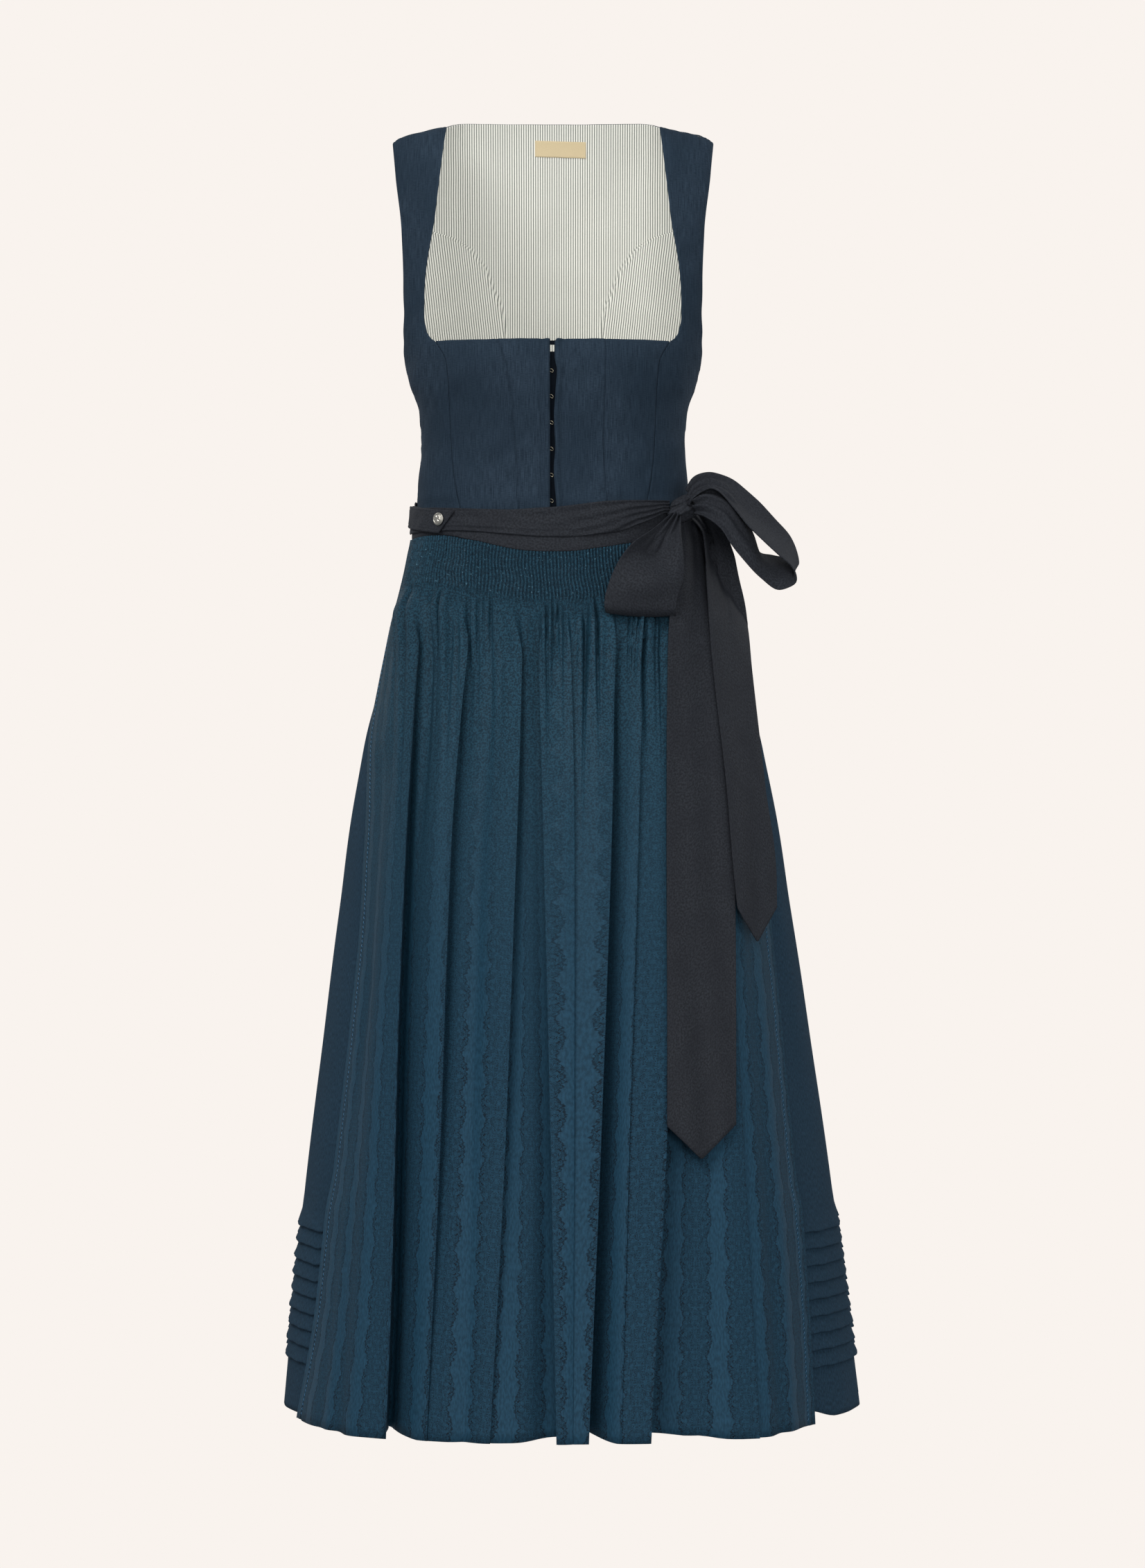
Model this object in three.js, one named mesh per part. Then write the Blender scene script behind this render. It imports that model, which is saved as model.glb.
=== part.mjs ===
// A dirndl, worn but with no wearer in it: a fitted bodice with a square neck and a hook closure,
// a long skirt with nine tucks, and a smocked apron whose ties are knotted into a bow at one side.
// Millimetres, +Z up. The front faces -Y, and left and right are those of someone who looks at the
// front, so right is +X. The origin lies under the shoulders, midway between the two straps.
import * as THREE from "three";

// ---- Driving dimensions -------------------------------------------------------------------

const WALL = 1.2; // cloth of the bodice, skirt, apron and ties
const LINING_WALL = 1.0;
const LINING_GAP = 0.5;
const SEAM = 0.3; // gap between two pieces that are sewn together
const HALF_SEAM = SEAM / 2;

const SHOULDER_DROP_REACH = 150; // the shoulder's slope dies out this far down
const NAPE_FLAT = 86; // the back is drawn up behind the neck, evenly to this far from its middle
const NAPE_WIDTH = 116; // and not at all beyond this
const NAPE_RISE = 45;
const NAPE_LIFT = 7; // the middle of the back's top edge stands this far above the shoulders
const NAPE_REACH = 230; // the back is no longer drawn up from this far down

const NECK_DEPTH = 215; // top edge of the front, below the shoulder
const ARMHOLE_DEPTH = 235;
const BUST = { x: 66, v: 226, width: 42, height: 34, fullness: 5 };
const WAIST_SEAM = 388;
const HEM = 1235;
const SKIRT_HEM = 1232;

const FRONT_EDGE_X = 1.9; // half of the slit between the two hooked front edges
const HOOKS = 6;
const FIRST_HOOK = 245.5;
const HOOK_PITCH = 24.4;
const HOOK_HEIGHT = 2.4;
const HOOK_REACH_X = 5.5;
const PLACKET_X = 13;
const HOOK_WALL = 0.8;
const HOOK_GAP = 0.55; // between the hooks and the cloth on either side of them

const TUCKS = 9;
const FIRST_TUCK = 1059; // lower edge of the first tuck
const TUCK_PITCH = 15.6;
const TUCK_STEP = 3.2;

const SMOCK_PLEATS = 72;
const SMOCK_HEIGHT = 45;
const SMOCK_SEAM = 0.6; // the smocking starts this far below the band
const SMOCK_RELIEF = 2.6;
const SMOCK_CLEARANCE = 2.8; // the smocking's valleys, above the skirt
const SMOCK_RELEASE = 26; // the pleats have opened into folds this far below the smocking
const BAND_GAP = 0.7;
const BAND_WALL = 1.5;
const BAND_ANGLE = 88; // the band ends this far round from the middle of the front

const SKIRT_BACK_FOLDS = 12;
const BACK_FOLD_WAIST = 1.2; // half the height of a fold just below the waist
const BACK_FOLD_HEM = 9; // and how much it gains towards the hem

// Sections of the body of the garment. v is the depth below the shoulder, halfWidth, front and
// back are the half axes of the section, and drift is how far its middle lies to the right.
const SECTIONS = [
  { v: 0, halfWidth: 161, front: 0, back: 0, drift: 0 },
  { v: 50, halfWidth: 160, front: 54, back: 46, drift: 0 },
  { v: 100, halfWidth: 157, front: 77, back: 66, drift: 0 },
  { v: 150, halfWidth: 154.5, front: 95, back: 83, drift: 0 },
  { v: 180, halfWidth: 152.5, front: 104, back: 90, drift: 0 },
  { v: 214, halfWidth: 147.6, front: 112, back: 95, drift: 0 },
  { v: 234, halfWidth: 142.5, front: 115, back: 97, drift: 0 },
  { v: 254, halfWidth: 137, front: 114, back: 96, drift: 0 },
  { v: 281, halfWidth: 129, front: 109, back: 92, drift: 0 },
  { v: 315, halfWidth: 127.3, front: 102, back: 87, drift: 0 },
  { v: 345, halfWidth: 130, front: 99, back: 85, drift: 0 },
  { v: 388, halfWidth: 133.5, front: 98, back: 90, drift: 0 },
  { v: 416, halfWidth: 138, front: 101, back: 99, drift: 0 },
  { v: 448, halfWidth: 147, front: 108, back: 113, drift: 2 },
  { v: 482, halfWidth: 158, front: 117, back: 127, drift: 4 },
  { v: 549, halfWidth: 178.5, front: 133, back: 152, drift: 9 },
  { v: 616, halfWidth: 195.5, front: 148, back: 175, drift: 10 },
  { v: 750, halfWidth: 217, front: 174, back: 214, drift: 11.5 },
  { v: 884, halfWidth: 235.5, front: 198, back: 243, drift: 13.5 },
  { v: 1050, halfWidth: 257.5, front: 226, back: 270, drift: 15.2 },
  { v: 1235, halfWidth: 278, front: 256, back: 292, drift: 18 },
];

// The slope of the shoulder line, from its neck end outwards.
const SHOULDER_LINE = [
  { x: 100, drop: 0 },
  { x: 126, drop: 6 },
  { x: 146, drop: 11.5 },
  { x: 153, drop: 15 },
  { x: 161, drop: 26 },
];

// Seams and edges of the bodice, as x at a depth v.
const PRINCESS_SEAM_LEFT = [
  { v: NECK_DEPTH, x: -53 },
  { v: 245, x: -43.5 },
  { v: 300, x: -37 },
  { v: 388, x: -31.5 },
];
const PRINCESS_SEAM_RIGHT = [
  { v: NECK_DEPTH, x: 50.5 },
  { v: 245, x: 50.5 },
  { v: 300, x: 49 },
  { v: 388, x: 54.5 },
];
const SIDE_FRONT_SEAM = [
  { v: NECK_DEPTH, x: 112 },
  { v: 242, x: 101 },
  { v: 320, x: 97 },
  { v: 388, x: 86 },
];
const STRAP_INNER_EDGE = [
  { v: 0, x: 103 },
  { v: 90, x: 113 },
  { v: 188, x: 123.5 },
  { v: 202, x: 121.5 },
  { v: 211, x: 117.5 },
  { v: NECK_DEPTH, x: 112 },
];
const BACK_SEAM = [
  { v: 84, x: 150 },
  { v: 88, x: 138 },
  { v: 96, x: 117 },
  { v: 106, x: 94 },
  { v: 119, x: 77 },
  { v: 147, x: 61 },
  { v: 190, x: 49 },
  { v: 388, x: 40 },
];
// Armholes, as the angle round the body from the middle of the front, or of the back.
const ARMHOLE = [
  { v: 0, angle: 73.5 },
  { v: 40, angle: 70 },
  { v: 110, angle: 66.5 },
  { v: 175, angle: 68 },
  { v: 205, angle: 73 },
  { v: 224, angle: 80.5 },
  { v: 232, angle: 86 },
  { v: ARMHOLE_DEPTH, angle: 90 },
];

// Lower edge of the apron band and the two edges of the tie that crosses it, as v at x.
const BAND_TOP = [
  { x: -140, v: 371 },
  { x: 0, v: 376 },
  { x: 140, v: 371 },
];
const BAND_BOTTOM = [
  { x: -140, v: 402 },
  { x: -110, v: 399 },
  { x: -78, v: 404 },
  { x: 0, v: 416 },
  { x: 45, v: 412 },
  { x: 78, v: 407 },
  { x: 140, v: 403 },
];
const TIE_TOP = [
  { x: -140, v: 366 },
  { x: -96, v: 376.5 },
  { x: 0, v: 373.5 },
  { x: 60, v: 367 },
  { x: 104, v: 366 },
];
const TIE_BOTTOM = [
  { x: -140, v: 396 },
  { x: -100, v: 395 },
  { x: 0, v: 402 },
  { x: 45, v: 399 },
  { x: 80, v: 389 },
  { x: 104, v: 378 },
];

// Depths of the tie's edges beyond the knot and at the back.
const TIE_RIGHT = { top: 363, bottom: 382 };
const TIE_BACK = { top: 364, bottom: 398 };

// Side edges of the apron, as angles round the skirt from the middle of the front.
const APRON_EDGES = [
  { v: 396, left: -BAND_ANGLE, right: BAND_ANGLE },
  { v: 500, left: -85, right: 85 },
  { v: 588, left: -75, right: 76 },
  { v: 714, left: -63, right: 64 },
  { v: 850, left: -60.5, right: 60 },
  { v: 1092, left: -61, right: 56 },
  { v: 1235, left: -66, right: 53 },
];

// Valleys between the apron's folds: x at the smocking, at mid length and at the hem, and how
// deep the valley is at each of the three.
const APRON_FOLDS = [
  { top: -118, middle: -134, hem: -143, topDepth: 4, middleDepth: 20, hemDepth: 36 },
  { top: -77, middle: -92, hem: -99, topDepth: 5, middleDepth: 11, hemDepth: 5 },
  { top: -40, middle: -46, hem: -52, topDepth: 5, middleDepth: 10, hemDepth: 6 },
  { top: -14, middle: -5, hem: 10, topDepth: 6, middleDepth: 13, hemDepth: 27 },
  { top: 16, middle: 20, hem: 25, topDepth: 4, middleDepth: 4, hemDepth: 6 },
  { top: 51, middle: 47, hem: 38, topDepth: 6, middleDepth: 20, hemDepth: 40 },
  { top: 82, middle: 80, hem: 70, topDepth: 4, middleDepth: 3, hemDepth: 4 },
  { top: 108, middle: 106, hem: 93, topDepth: 5, middleDepth: 18, hemDepth: 36 },
  { top: 130, middle: 150, hem: 165, topDepth: 2, middleDepth: 3, hemDepth: 9 },
];
const FOLD_TOP = 465;
const FOLD_MIDDLE = 740;
const FOLD_RISE = 0.3; // share of a fold's width over which it rises from the valley at its left
const FOLD_DROP = 0.11; // and over which it drops into the valley at its right
// How far the crests of the folds stand out from the skirt.
const APRON_CREST = [
  { v: 440, out: 6.5 },
  { v: 500, out: 12 },
  { v: 600, out: 19 },
  { v: 740, out: 28 },
  { v: 1000, out: 40 },
  { v: 1235, out: 54 },
];
// How far the apron lies off the skirt where no fold lifts it: it clears the tucks below.
const APRON_REST = [
  { v: 396, out: 2.6 },
  { v: 1000, out: 2.6 },
  { v: 1040, out: 6.4 },
  { v: 1235, out: 6.4 },
];

// The two bow loops, as the ribbon's two edges from the knot, round the loop and back.
const LOOP_RIGHT = [
  { ax: 119.7, ay: -70.7, az: -360.6, bx: 129.7, by: -60.7, bz: -361 },
  { ax: 137, ay: -86, az: -350, bx: 142, by: -58, bz: -343 },
  { ax: 157, ay: -97, az: -352, bx: 159, by: -52, bz: -340 },
  { ax: 186, ay: -100, az: -382, bx: 196, by: -50, bz: -365 },
  { ax: 213, ay: -98, az: -417, bx: 222, by: -48, bz: -396 },
  { ax: 231, ay: -95, az: -438, bx: 232, by: -46, bz: -423 },
  { ax: 229, ay: -94, az: -448, bx: 224, by: -46, bz: -431 },
  { ax: 214, ay: -96, az: -451, bx: 206, by: -47, bz: -424 },
  { ax: 185, ay: -98, az: -424, bx: 188, by: -49, bz: -397 },
  { ax: 163, ay: -94, az: -391, bx: 166, by: -53, bz: -370 },
  { ax: 132.9, ay: -73, az: -374, bx: 133.5, by: -60, bz: -368 },
];
const LOOP_LEFT = [
  { ax: 113, ay: -75.2, az: -378.5, bx: 122, by: -71.2, bz: -381 },
  { ax: 93, ay: -113, az: -396, bx: 122, by: -99, bz: -401 },
  { ax: 74, ay: -131, az: -411, bx: 124, by: -111, bz: -422 },
  { ax: 60, ay: -137, az: -431, bx: 124, by: -115, bz: -441 },
  { ax: 50, ay: -140, az: -458, bx: 118, by: -119, bz: -459 },
  { ax: 49, ay: -138, az: -471, bx: 116, by: -118, bz: -472 },
  { ax: 52, ay: -128, az: -475, bx: 118, by: -108, bz: -476 },
  { ax: 56, ay: -122, az: -464, bx: 121, by: -101, bz: -465 },
  { ax: 68, ay: -119, az: -431, bx: 122, by: -97, bz: -433 },
  { ax: 88, ay: -112, az: -405, bx: 120, by: -94, bz: -408 },
  { ax: 112, ay: -72.2, az: -380.5, bx: 121, by: -67.2, bz: -383 },
];

// The two bow tails: the x of each edge at a depth v.
const TAIL_LONG = [
  { v: 384, left: 124, right: 136 },
  { v: 404, left: 117, right: 142 },
  { v: 447, left: 116, right: 152 },
  { v: 523, left: 112, right: 162 },
  { v: 640, left: 110, right: 170 },
  { v: 745, left: 109.5, right: 174.5 },
  { v: 951, left: 108.8, right: 173.4 },
];
const TAIL_LONG_TIP = 31;
const TAIL_SHORT = [
  { v: 380, left: 136, right: 150 },
  { v: 404, left: 146, right: 168 },
  { v: 447, left: 149, right: 180 },
  { v: 482, left: 152, right: 187 },
  { v: 523, left: 155, right: 191 },
  { v: 640, left: 167.5, right: 204 },
  { v: 745, left: 176, right: 214 },
  { v: 752, left: 177, right: 214 },
];
const TAIL_SHORT_TIP = 32;

const KNOT_ANGLE = 58;
const KNOT_DEPTH = 372;
const KNOT_RADII = { along: 11, across: 11.5, out: 8.5 };
const KNOT_HALF_ANGLE = 5.5; // the tie is cut away on both sides of the knot

// The tab: its two ends as angles, and the depth of its middle at each.
const TAB = { tail: -86, tip: -39.5, slant: 9, height: 21, tailMiddle: 379, tipMiddle: 387 };
const BUTTON = { x: -104, v: 384 };
const BUTTON_RADIUS = 6.2;
const BUTTON_HEIGHT = 3.4;
const BUTTON_RIM = 0.8;
const BUTTON_GAP = 0.4;

// The label's sides and middle, as shares of the half width of the back: it sits a little off
// the middle.
const LABEL_SHARES = [-0.128, -0.032, 0.064];
const LABEL_TOP = 14.5;
const LABEL_BOTTOM = 29;
const LABEL_WALL = 0.6;

// ---- Materials ----------------------------------------------------------------------------

const fabric = (color) => new THREE.MeshStandardMaterial({ color, roughness: 0.9, metalness: 0 });
const BODICE_CLOTH = fabric(0x2c3a48);
const SKIRT_CLOTH = fabric(0x263a4b);
const APRON_CLOTH = fabric(0x26465c);
const TIE_CLOTH = fabric(0x2b2c33);
const LINING_CLOTH = fabric(0xe4e2d8);
const LABEL_CLOTH = fabric(0xe8d6aa);
const SILVER = new THREE.MeshStandardMaterial({ color: 0xc9c7c0, roughness: 0.35, metalness: 1 });

// ---- Helpers ------------------------------------------------------------------------------

const clamp = (value, low, high) => Math.min(high, Math.max(low, value));
const mix = (a, b, t) => a + (b - a) * t;
const radians = THREE.MathUtils.degToRad;
const degrees = THREE.MathUtils.radToDeg;

function smoothStep(low, high, value) {
  const t = clamp((value - low) / (high - low), 0, 1);
  return t * t * (3 - 2 * t);
}

function range(count, pick) {
  return Array.from({ length: count }, (_, index) => pick(index));
}

// Evenly spaced numbers from low to high, in the given number of steps.
const steps = (low, high, count) => range(count + 1, (i) => mix(low, high, i / count));

// A smooth curve through a table's rows that never overshoots them (monotone cubic).
function curve(table, key, column, transform = (value) => value) {
  const xs = table.map((row) => row[key]);
  const ys = table.map((row) => transform(row[column]));
  const last = xs.length - 1;
  const slopes = range(last, (i) => (ys[i + 1] - ys[i]) / (xs[i + 1] - xs[i]));
  const tangents = xs.map((_, i) => {
    if (i === 0) return slopes[0];
    if (i === last) return slopes[last - 1];
    const [before, after] = [slopes[i - 1], slopes[i]];
    return before * after <= 0 ? 0 : (2 * before * after) / (before + after);
  });
  return (x) => {
    const at = clamp(x, xs[0], xs[last]);
    let i = 0;
    while (i < last - 1 && at > xs[i + 1]) i += 1;
    const width = xs[i + 1] - xs[i];
    const t = (at - xs[i]) / width;
    const a = mix(ys[i], ys[i] + tangents[i] * width, t);
    const b = mix(ys[i + 1] - tangents[i + 1] * width, ys[i + 1], t);
    const blend = t * t * (3 - 2 * t);
    return mix(a, b, blend);
  };
}

// ---- The body surface ---------------------------------------------------------------------

const square = (value) => value * value;
const halfWidthAt = curve(SECTIONS, "v", "halfWidth");
const frontSquaredAt = curve(SECTIONS, "v", "front", square);
const backSquaredAt = curve(SECTIONS, "v", "back", square);
const driftAt = curve(SECTIONS, "v", "drift");
const shoulderDropAt = curve(SHOULDER_LINE, "x", "drop");

// The sections are superellipses: a little boxy in the bodice, and round in the skirt.
const exponentAt = (v) => mix(2.35, 2.05, smoothStep(380, 620, v));

// The point of the body at an angle round it (0 is the middle of the front, 90 the right side)
// and at a depth v, moved out by out.
function bodySurface(angle, v) {
  const turn = radians(angle);
  const power = 2 / exponentAt(v);
  const sine = Math.sign(Math.sin(turn)) * Math.abs(Math.sin(turn)) ** power;
  const cosine = Math.sign(Math.cos(turn)) * Math.abs(Math.cos(turn)) ** power;
  const x = halfWidthAt(v) * sine;
  const isFront = cosine > 0;
  const nape = NAPE_RISE * (1 - smoothStep(NAPE_FLAT, NAPE_WIDTH, Math.abs(x)));
  const raised = v + nape * clamp(1 - v / NAPE_REACH, 0, 1);
  const depth = Math.sqrt(isFront ? frontSquaredAt(v) : backSquaredAt(raised));
  const bust = isFront ? bustFullness(x, v) : 0;
  const drop = shoulderDropAt(Math.abs(x));
  const lift = isFront ? 0 : (NAPE_LIFT * nape) / NAPE_RISE;
  const lowered = (drop - lift) * clamp(1 - v / SHOULDER_DROP_REACH, 0, 1);
  return new THREE.Vector3(x + driftAt(v), -(depth * cosine + bust), -v - lowered);
}

// The front panels are cut full at two places, one each side of the closure.
function bustFullness(x, v) {
  const across = Math.exp(-(((Math.abs(x) - BUST.x) / BUST.width) ** 2));
  const down = Math.exp(-(((v - BUST.v) / BUST.height) ** 2));
  return BUST.fullness * across * down;
}

// The same point moved out by a distance: along the surface's normal in the bodice, and level in
// the skirt. Near the shoulder line the surface is smooth in the root of v, so the slopes are
// taken in that root.
function bodyPoint(angle, v, out = 0) {
  const point = bodySurface(angle, v);
  if (out === 0) return point;
  const root = Math.sqrt(v);
  const turnStep = 0.4;
  const rootStep = Math.min(0.01 * root + 0.002, 0.1);
  const around = bodySurface(angle + turnStep, v).sub(bodySurface(angle - turnStep, v));
  const above = bodySurface(angle, (root - Math.min(rootStep, root * 0.5)) ** 2);
  const down = bodySurface(angle, (root + rootStep) ** 2).sub(above);
  const normal = down.cross(around).normalize();
  normal.z *= 1 - smoothStep(400, 500, v);
  return point.addScaledVector(normal.normalize(), out);
}

// The angle at which the body has a given x, on its front or its back.
function angleAt(x, v) {
  const reach = clamp((x - driftAt(v)) / halfWidthAt(v), -1, 1);
  const sine = Math.abs(reach) ** (exponentAt(v) / 2);
  return Math.sign(reach) * degrees(Math.asin(sine));
}

// ---- Walls --------------------------------------------------------------------------------

// Collects points and triangles, and makes closed walls out of grids of points. A grid is a list
// of rows, from the top down, and each row runs from left to right as seen from outside.
class WallBuilder {
  positions = [];
  triangles = [];

  addGrid(grid, facesOut) {
    const ids = grid.map((row) =>
      row.map((point) => {
        this.positions.push(point.x, point.y, point.z);
        return this.positions.length / 3 - 1;
      }),
    );
    for (let r = 0; r + 1 < ids.length; r += 1) {
      for (let c = 0; c + 1 < ids[r].length; c += 1) {
        const corners = [ids[r][c], ids[r + 1][c], ids[r + 1][c + 1], ids[r][c + 1]];
        if (!facesOut) corners.reverse();
        this.addQuad(...corners);
      }
    }
    return ids;
  }

  addQuad(a, b, c, d) {
    const isShorter = this.distance(a, c) <= this.distance(b, d);
    if (isShorter) this.triangles.push(a, b, c, a, c, d);
    else this.triangles.push(a, b, d, b, c, d);
  }

  distance(a, b) {
    const [p, q] = [a, b].map((id) => new THREE.Vector3().fromArray(this.positions, id * 3));
    return p.distanceTo(q);
  }

  // Joins two lines of points that run the same way, which may have different counts. Each step
  // takes the shorter of the two crossing edges.
  zip(first, second) {
    let i = 0;
    let j = 0;
    while (i + 1 < first.length || j + 1 < second.length) {
      const onFirst = i + 1 < first.length ? this.distance(first[i + 1], second[j]) : Infinity;
      const onSecond = j + 1 < second.length ? this.distance(first[i], second[j + 1]) : Infinity;
      if (onFirst <= onSecond) {
        this.triangles.push(first[i], first[i + 1], second[j]);
        i += 1;
      } else {
        this.triangles.push(first[i], second[j + 1], second[j]);
        j += 1;
      }
    }
  }

  // Walls between an outer side, in one or more bands of rows, and an inner side.
  addWall(outerBands, innerGrid) {
    const outer = outerBands.map((band) => this.addGrid(band, true));
    const inner = this.addGrid(innerGrid, false);
    outer.slice(1).forEach((band, index) => this.zip(band[0], outer[index].at(-1)));
    const outerRows = outer.flat();
    const edges = (rows) => [
      rows[0],
      rows.map((row) => row.at(-1)),
      [...rows.at(-1)].reverse(),
      rows.map((row) => row[0]).reverse(),
    ];
    const innerEdges = edges(inner);
    edges(outerRows).forEach((edge, side) => this.zip(edge, innerEdges[side]));
  }

  geometry() {
    const geometry = new THREE.BufferGeometry();
    geometry.setAttribute("position", new THREE.Float32BufferAttribute(this.positions, 3));
    geometry.setIndex(this.triangles);
    geometry.computeVertexNormals();
    return geometry;
  }
}

function wallGeometry(outerBands, innerGrid) {
  const builder = new WallBuilder();
  builder.addWall(outerBands, innerGrid);
  return builder.geometry();
}

// A copy of a grid, each point moved along the grid's own normal.
function offsetGrid(grid, distance) {
  return grid.map((row, r) =>
    row.map((point, c) => {
      const above = grid[Math.max(r - 1, 0)][c];
      const below = grid[Math.min(r + 1, grid.length - 1)][c];
      const before = row[Math.max(c - 1, 0)];
      const after = row[Math.min(c + 1, row.length - 1)];
      const down = below.clone().sub(above);
      const across = after.clone().sub(before);
      return point.clone().addScaledVector(down.cross(across).normalize(), distance);
    }),
  );
}

// A panel that lies on the body: its rows are depths, and at each depth it runs from one angle to
// another. shares places its columns between the two.
function bodyPanel({ depths, shares, left, right, outside = 0, wall = WALL }) {
  const side = (out) =>
    depths.map((v) => shares.map((share) => bodyPoint(mix(left(v), right(v), share), v, out)));
  return wallGeometry([side(outside)], side(outside - wall));
}

// The half gap that a seam leaves, as an angle.
const seamAngle = (v) => degrees(HALF_SEAM / (0.8 * halfWidthAt(v)));

// ---- Bodice -------------------------------------------------------------------------------

const princessLeftAt = curve(PRINCESS_SEAM_LEFT, "v", "x");
const princessRightAt = curve(PRINCESS_SEAM_RIGHT, "v", "x");
const sideFrontAt = curve(SIDE_FRONT_SEAM, "v", "x");
const strapInnerAt = curve(STRAP_INNER_EDGE, "v", "x");
const backSeamAt = curve(BACK_SEAM, "v", "x");
const armholeAt = curve(ARMHOLE, "v", "angle");

const STRAP_DEPTHS = [0.0003, 2, 9, 25, 50, 85, 125, 162, 188, 202, 211];
const FRONT_DEPTHS = [NECK_DEPTH, 221, 228, 235, 250, 270, 292, 315, 338, 364, WAIST_SEAM];
const SHOULDER_DEPTHS = [3, LABEL_TOP, LABEL_BOTTOM, 60, 84];
const BACK_DEPTHS = [88, 92, 96, 106, 119, 147, 190, 235, 262, 295, 330, 362, WAIST_SEAM];

// Shares of the width of the back, which include the label's.
const BACK_SHARES = [-1, -0.85, -0.65, -0.4, ...LABEL_SHARES, 0.4, 0.65, 0.85, 1].map(
  (share) => (1 + share) / 2,
);

const panelAngle = (x, v, gap) => angleAt(x, v) + gap * seamAngle(v);
const frontEdge = (v, side) => angleAt(side * FRONT_EDGE_X, v);

// side is -1 for the left and 1 for the right. The two edges of a panel swap sides with it.
function sidedPanel(side, inner, outer, options) {
  const left = side < 0 ? outer : inner;
  const right = side < 0 ? inner : outer;
  return bodyPanel({ ...options, left, right });
}

const princessAt = (side) => (side < 0 ? (v) => -princessLeftAt(v) : princessRightAt);

function frontCentre(side) {
  const seam = princessAt(side);
  const inner = (v) => frontEdge(v, side);
  const outer = (v) => side * panelAngle(seam(v), v, -1);
  return sidedPanel(side, inner, outer, { depths: FRONT_DEPTHS, shares: steps(0, 1, 3) });
}

function frontMiddle(side) {
  const seam = princessAt(side);
  const inner = (v) => side * panelAngle(seam(v), v, 1);
  const outer = (v) => side * panelAngle(sideFrontAt(v), v, -1);
  return sidedPanel(side, inner, outer, { depths: FRONT_DEPTHS, shares: steps(0, 1, 4) });
}

// The side front runs up into the strap, to the shoulder seam.
function frontSide(side) {
  const inner = (v) => {
    const x = v < NECK_DEPTH ? strapInnerAt(v) : sideFrontAt(v);
    return side * panelAngle(x, v, 1);
  };
  const outer = (v) => side * (v < ARMHOLE_DEPTH ? armholeAt(v) : 90 - seamAngle(v));
  const depths = [...STRAP_DEPTHS, ...FRONT_DEPTHS];
  return sidedPanel(side, inner, outer, { depths, shares: steps(0, 1, 5) });
}

// Back pieces are laid out from the middle of the back, at 180 degrees.
const backReach = (v) => Math.min(armholeAt(v), angleAt(backSeamAt(v), v) - seamAngle(v));

function backCentre(outside, wall) {
  const depths = [STRAP_DEPTHS[0], ...SHOULDER_DEPTHS, ...BACK_DEPTHS];
  const left = (v) => 180 - backReach(v);
  const right = (v) => 180 + backReach(v);
  return bodyPanel({ depths, shares: BACK_SHARES, left, right, outside, wall });
}

function backSide(side, outside, wall) {
  const inner = (v) => 180 - side * (angleAt(backSeamAt(v), v) + seamAngle(v));
  const outer = (v) => 180 - side * (v < ARMHOLE_DEPTH ? armholeAt(v) : 90 - seamAngle(v));
  const left = side < 0 ? inner : outer;
  const right = side < 0 ? outer : inner;
  return bodyPanel({ depths: BACK_DEPTHS, shares: steps(0, 1, 3), left, right, outside, wall });
}

// The label's corners and middle lie on three of the lining's own columns.
function neckLabel() {
  return bodyPanel({
    depths: [LABEL_TOP, LABEL_BOTTOM],
    shares: [0, 0.5, 1],
    left: (v) => 180 + backReach(v) * LABEL_SHARES[0],
    right: (v) => 180 + backReach(v) * LABEL_SHARES[2],
    outside: -WALL - LINING_GAP - LINING_WALL - SEAM,
    wall: LABEL_WALL,
  });
}

// A narrow strip behind the hooked edges.
function closurePlacket() {
  return bodyPanel({
    depths: FRONT_DEPTHS.slice(1),
    shares: steps(0, 1, 4),
    left: (v) => angleAt(-PLACKET_X, v),
    right: (v) => angleAt(PLACKET_X, v),
    outside: -WALL - HOOK_WALL - 2 * HOOK_GAP,
    wall: LINING_WALL,
  });
}

function hookBar(index) {
  const middle = FIRST_HOOK + HOOK_PITCH * index;
  return bodyPanel({
    depths: [middle - HOOK_HEIGHT / 2, middle + HOOK_HEIGHT / 2],
    shares: [0, 0.5, 1],
    left: (v) => angleAt(-HOOK_REACH_X, v),
    right: (v) => angleAt(HOOK_REACH_X, v),
    outside: -WALL - HOOK_GAP,
    wall: HOOK_WALL,
  });
}

// ---- Skirt --------------------------------------------------------------------------------

// The lower edge of a tuck. Each tuck is pressed down: it rises slowly to its lower edge and then
// steps back to the cloth under it.
const tuckEdge = (index) => FIRST_TUCK + index * TUCK_PITCH;

function skirtRows() {
  const plain = [WAIST_SEAM + SEAM, 402, 416, 440, 495, 590, 730, 890];
  const rows = plain.map((v) => ({ v, out: 0 }));
  rows.push({ v: FIRST_TUCK - TUCK_PITCH, out: 0 });
  range(TUCKS, tuckEdge).forEach((v) => {
    rows.push({ v, out: TUCK_STEP });
    rows.push({ v: v + 1, out: 0 });
  });
  rows.push({ v: SKIRT_HEM, out: 0 });
  return rows;
}

const INNER_SKIRT_DEPTHS = [WAIST_SEAM + SEAM, 416, 440, 495, 590, 730, 950, SKIRT_HEM];

// The back is gathered at the waist, and its folds grow towards the hem.
function backFold(angle, v) {
  const share = (angle - 90) / 180;
  const phase = 2 * Math.PI * SKIRT_BACK_FOLDS * share;
  const fade = smoothStep(0, 0.09, share) * smoothStep(0, 0.09, 1 - share);
  const growth = BACK_FOLD_WAIST * smoothStep(402, 425, v) + BACK_FOLD_HEM * smoothStep(410, HEM, v);
  const uneven = 1 + 0.25 * Math.sin(2.3 * phase / SKIRT_BACK_FOLDS + 0.7);
  return growth * fade * uneven * Math.cos(phase + 0.35 * Math.sin(phase * 0.31));
}

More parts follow.
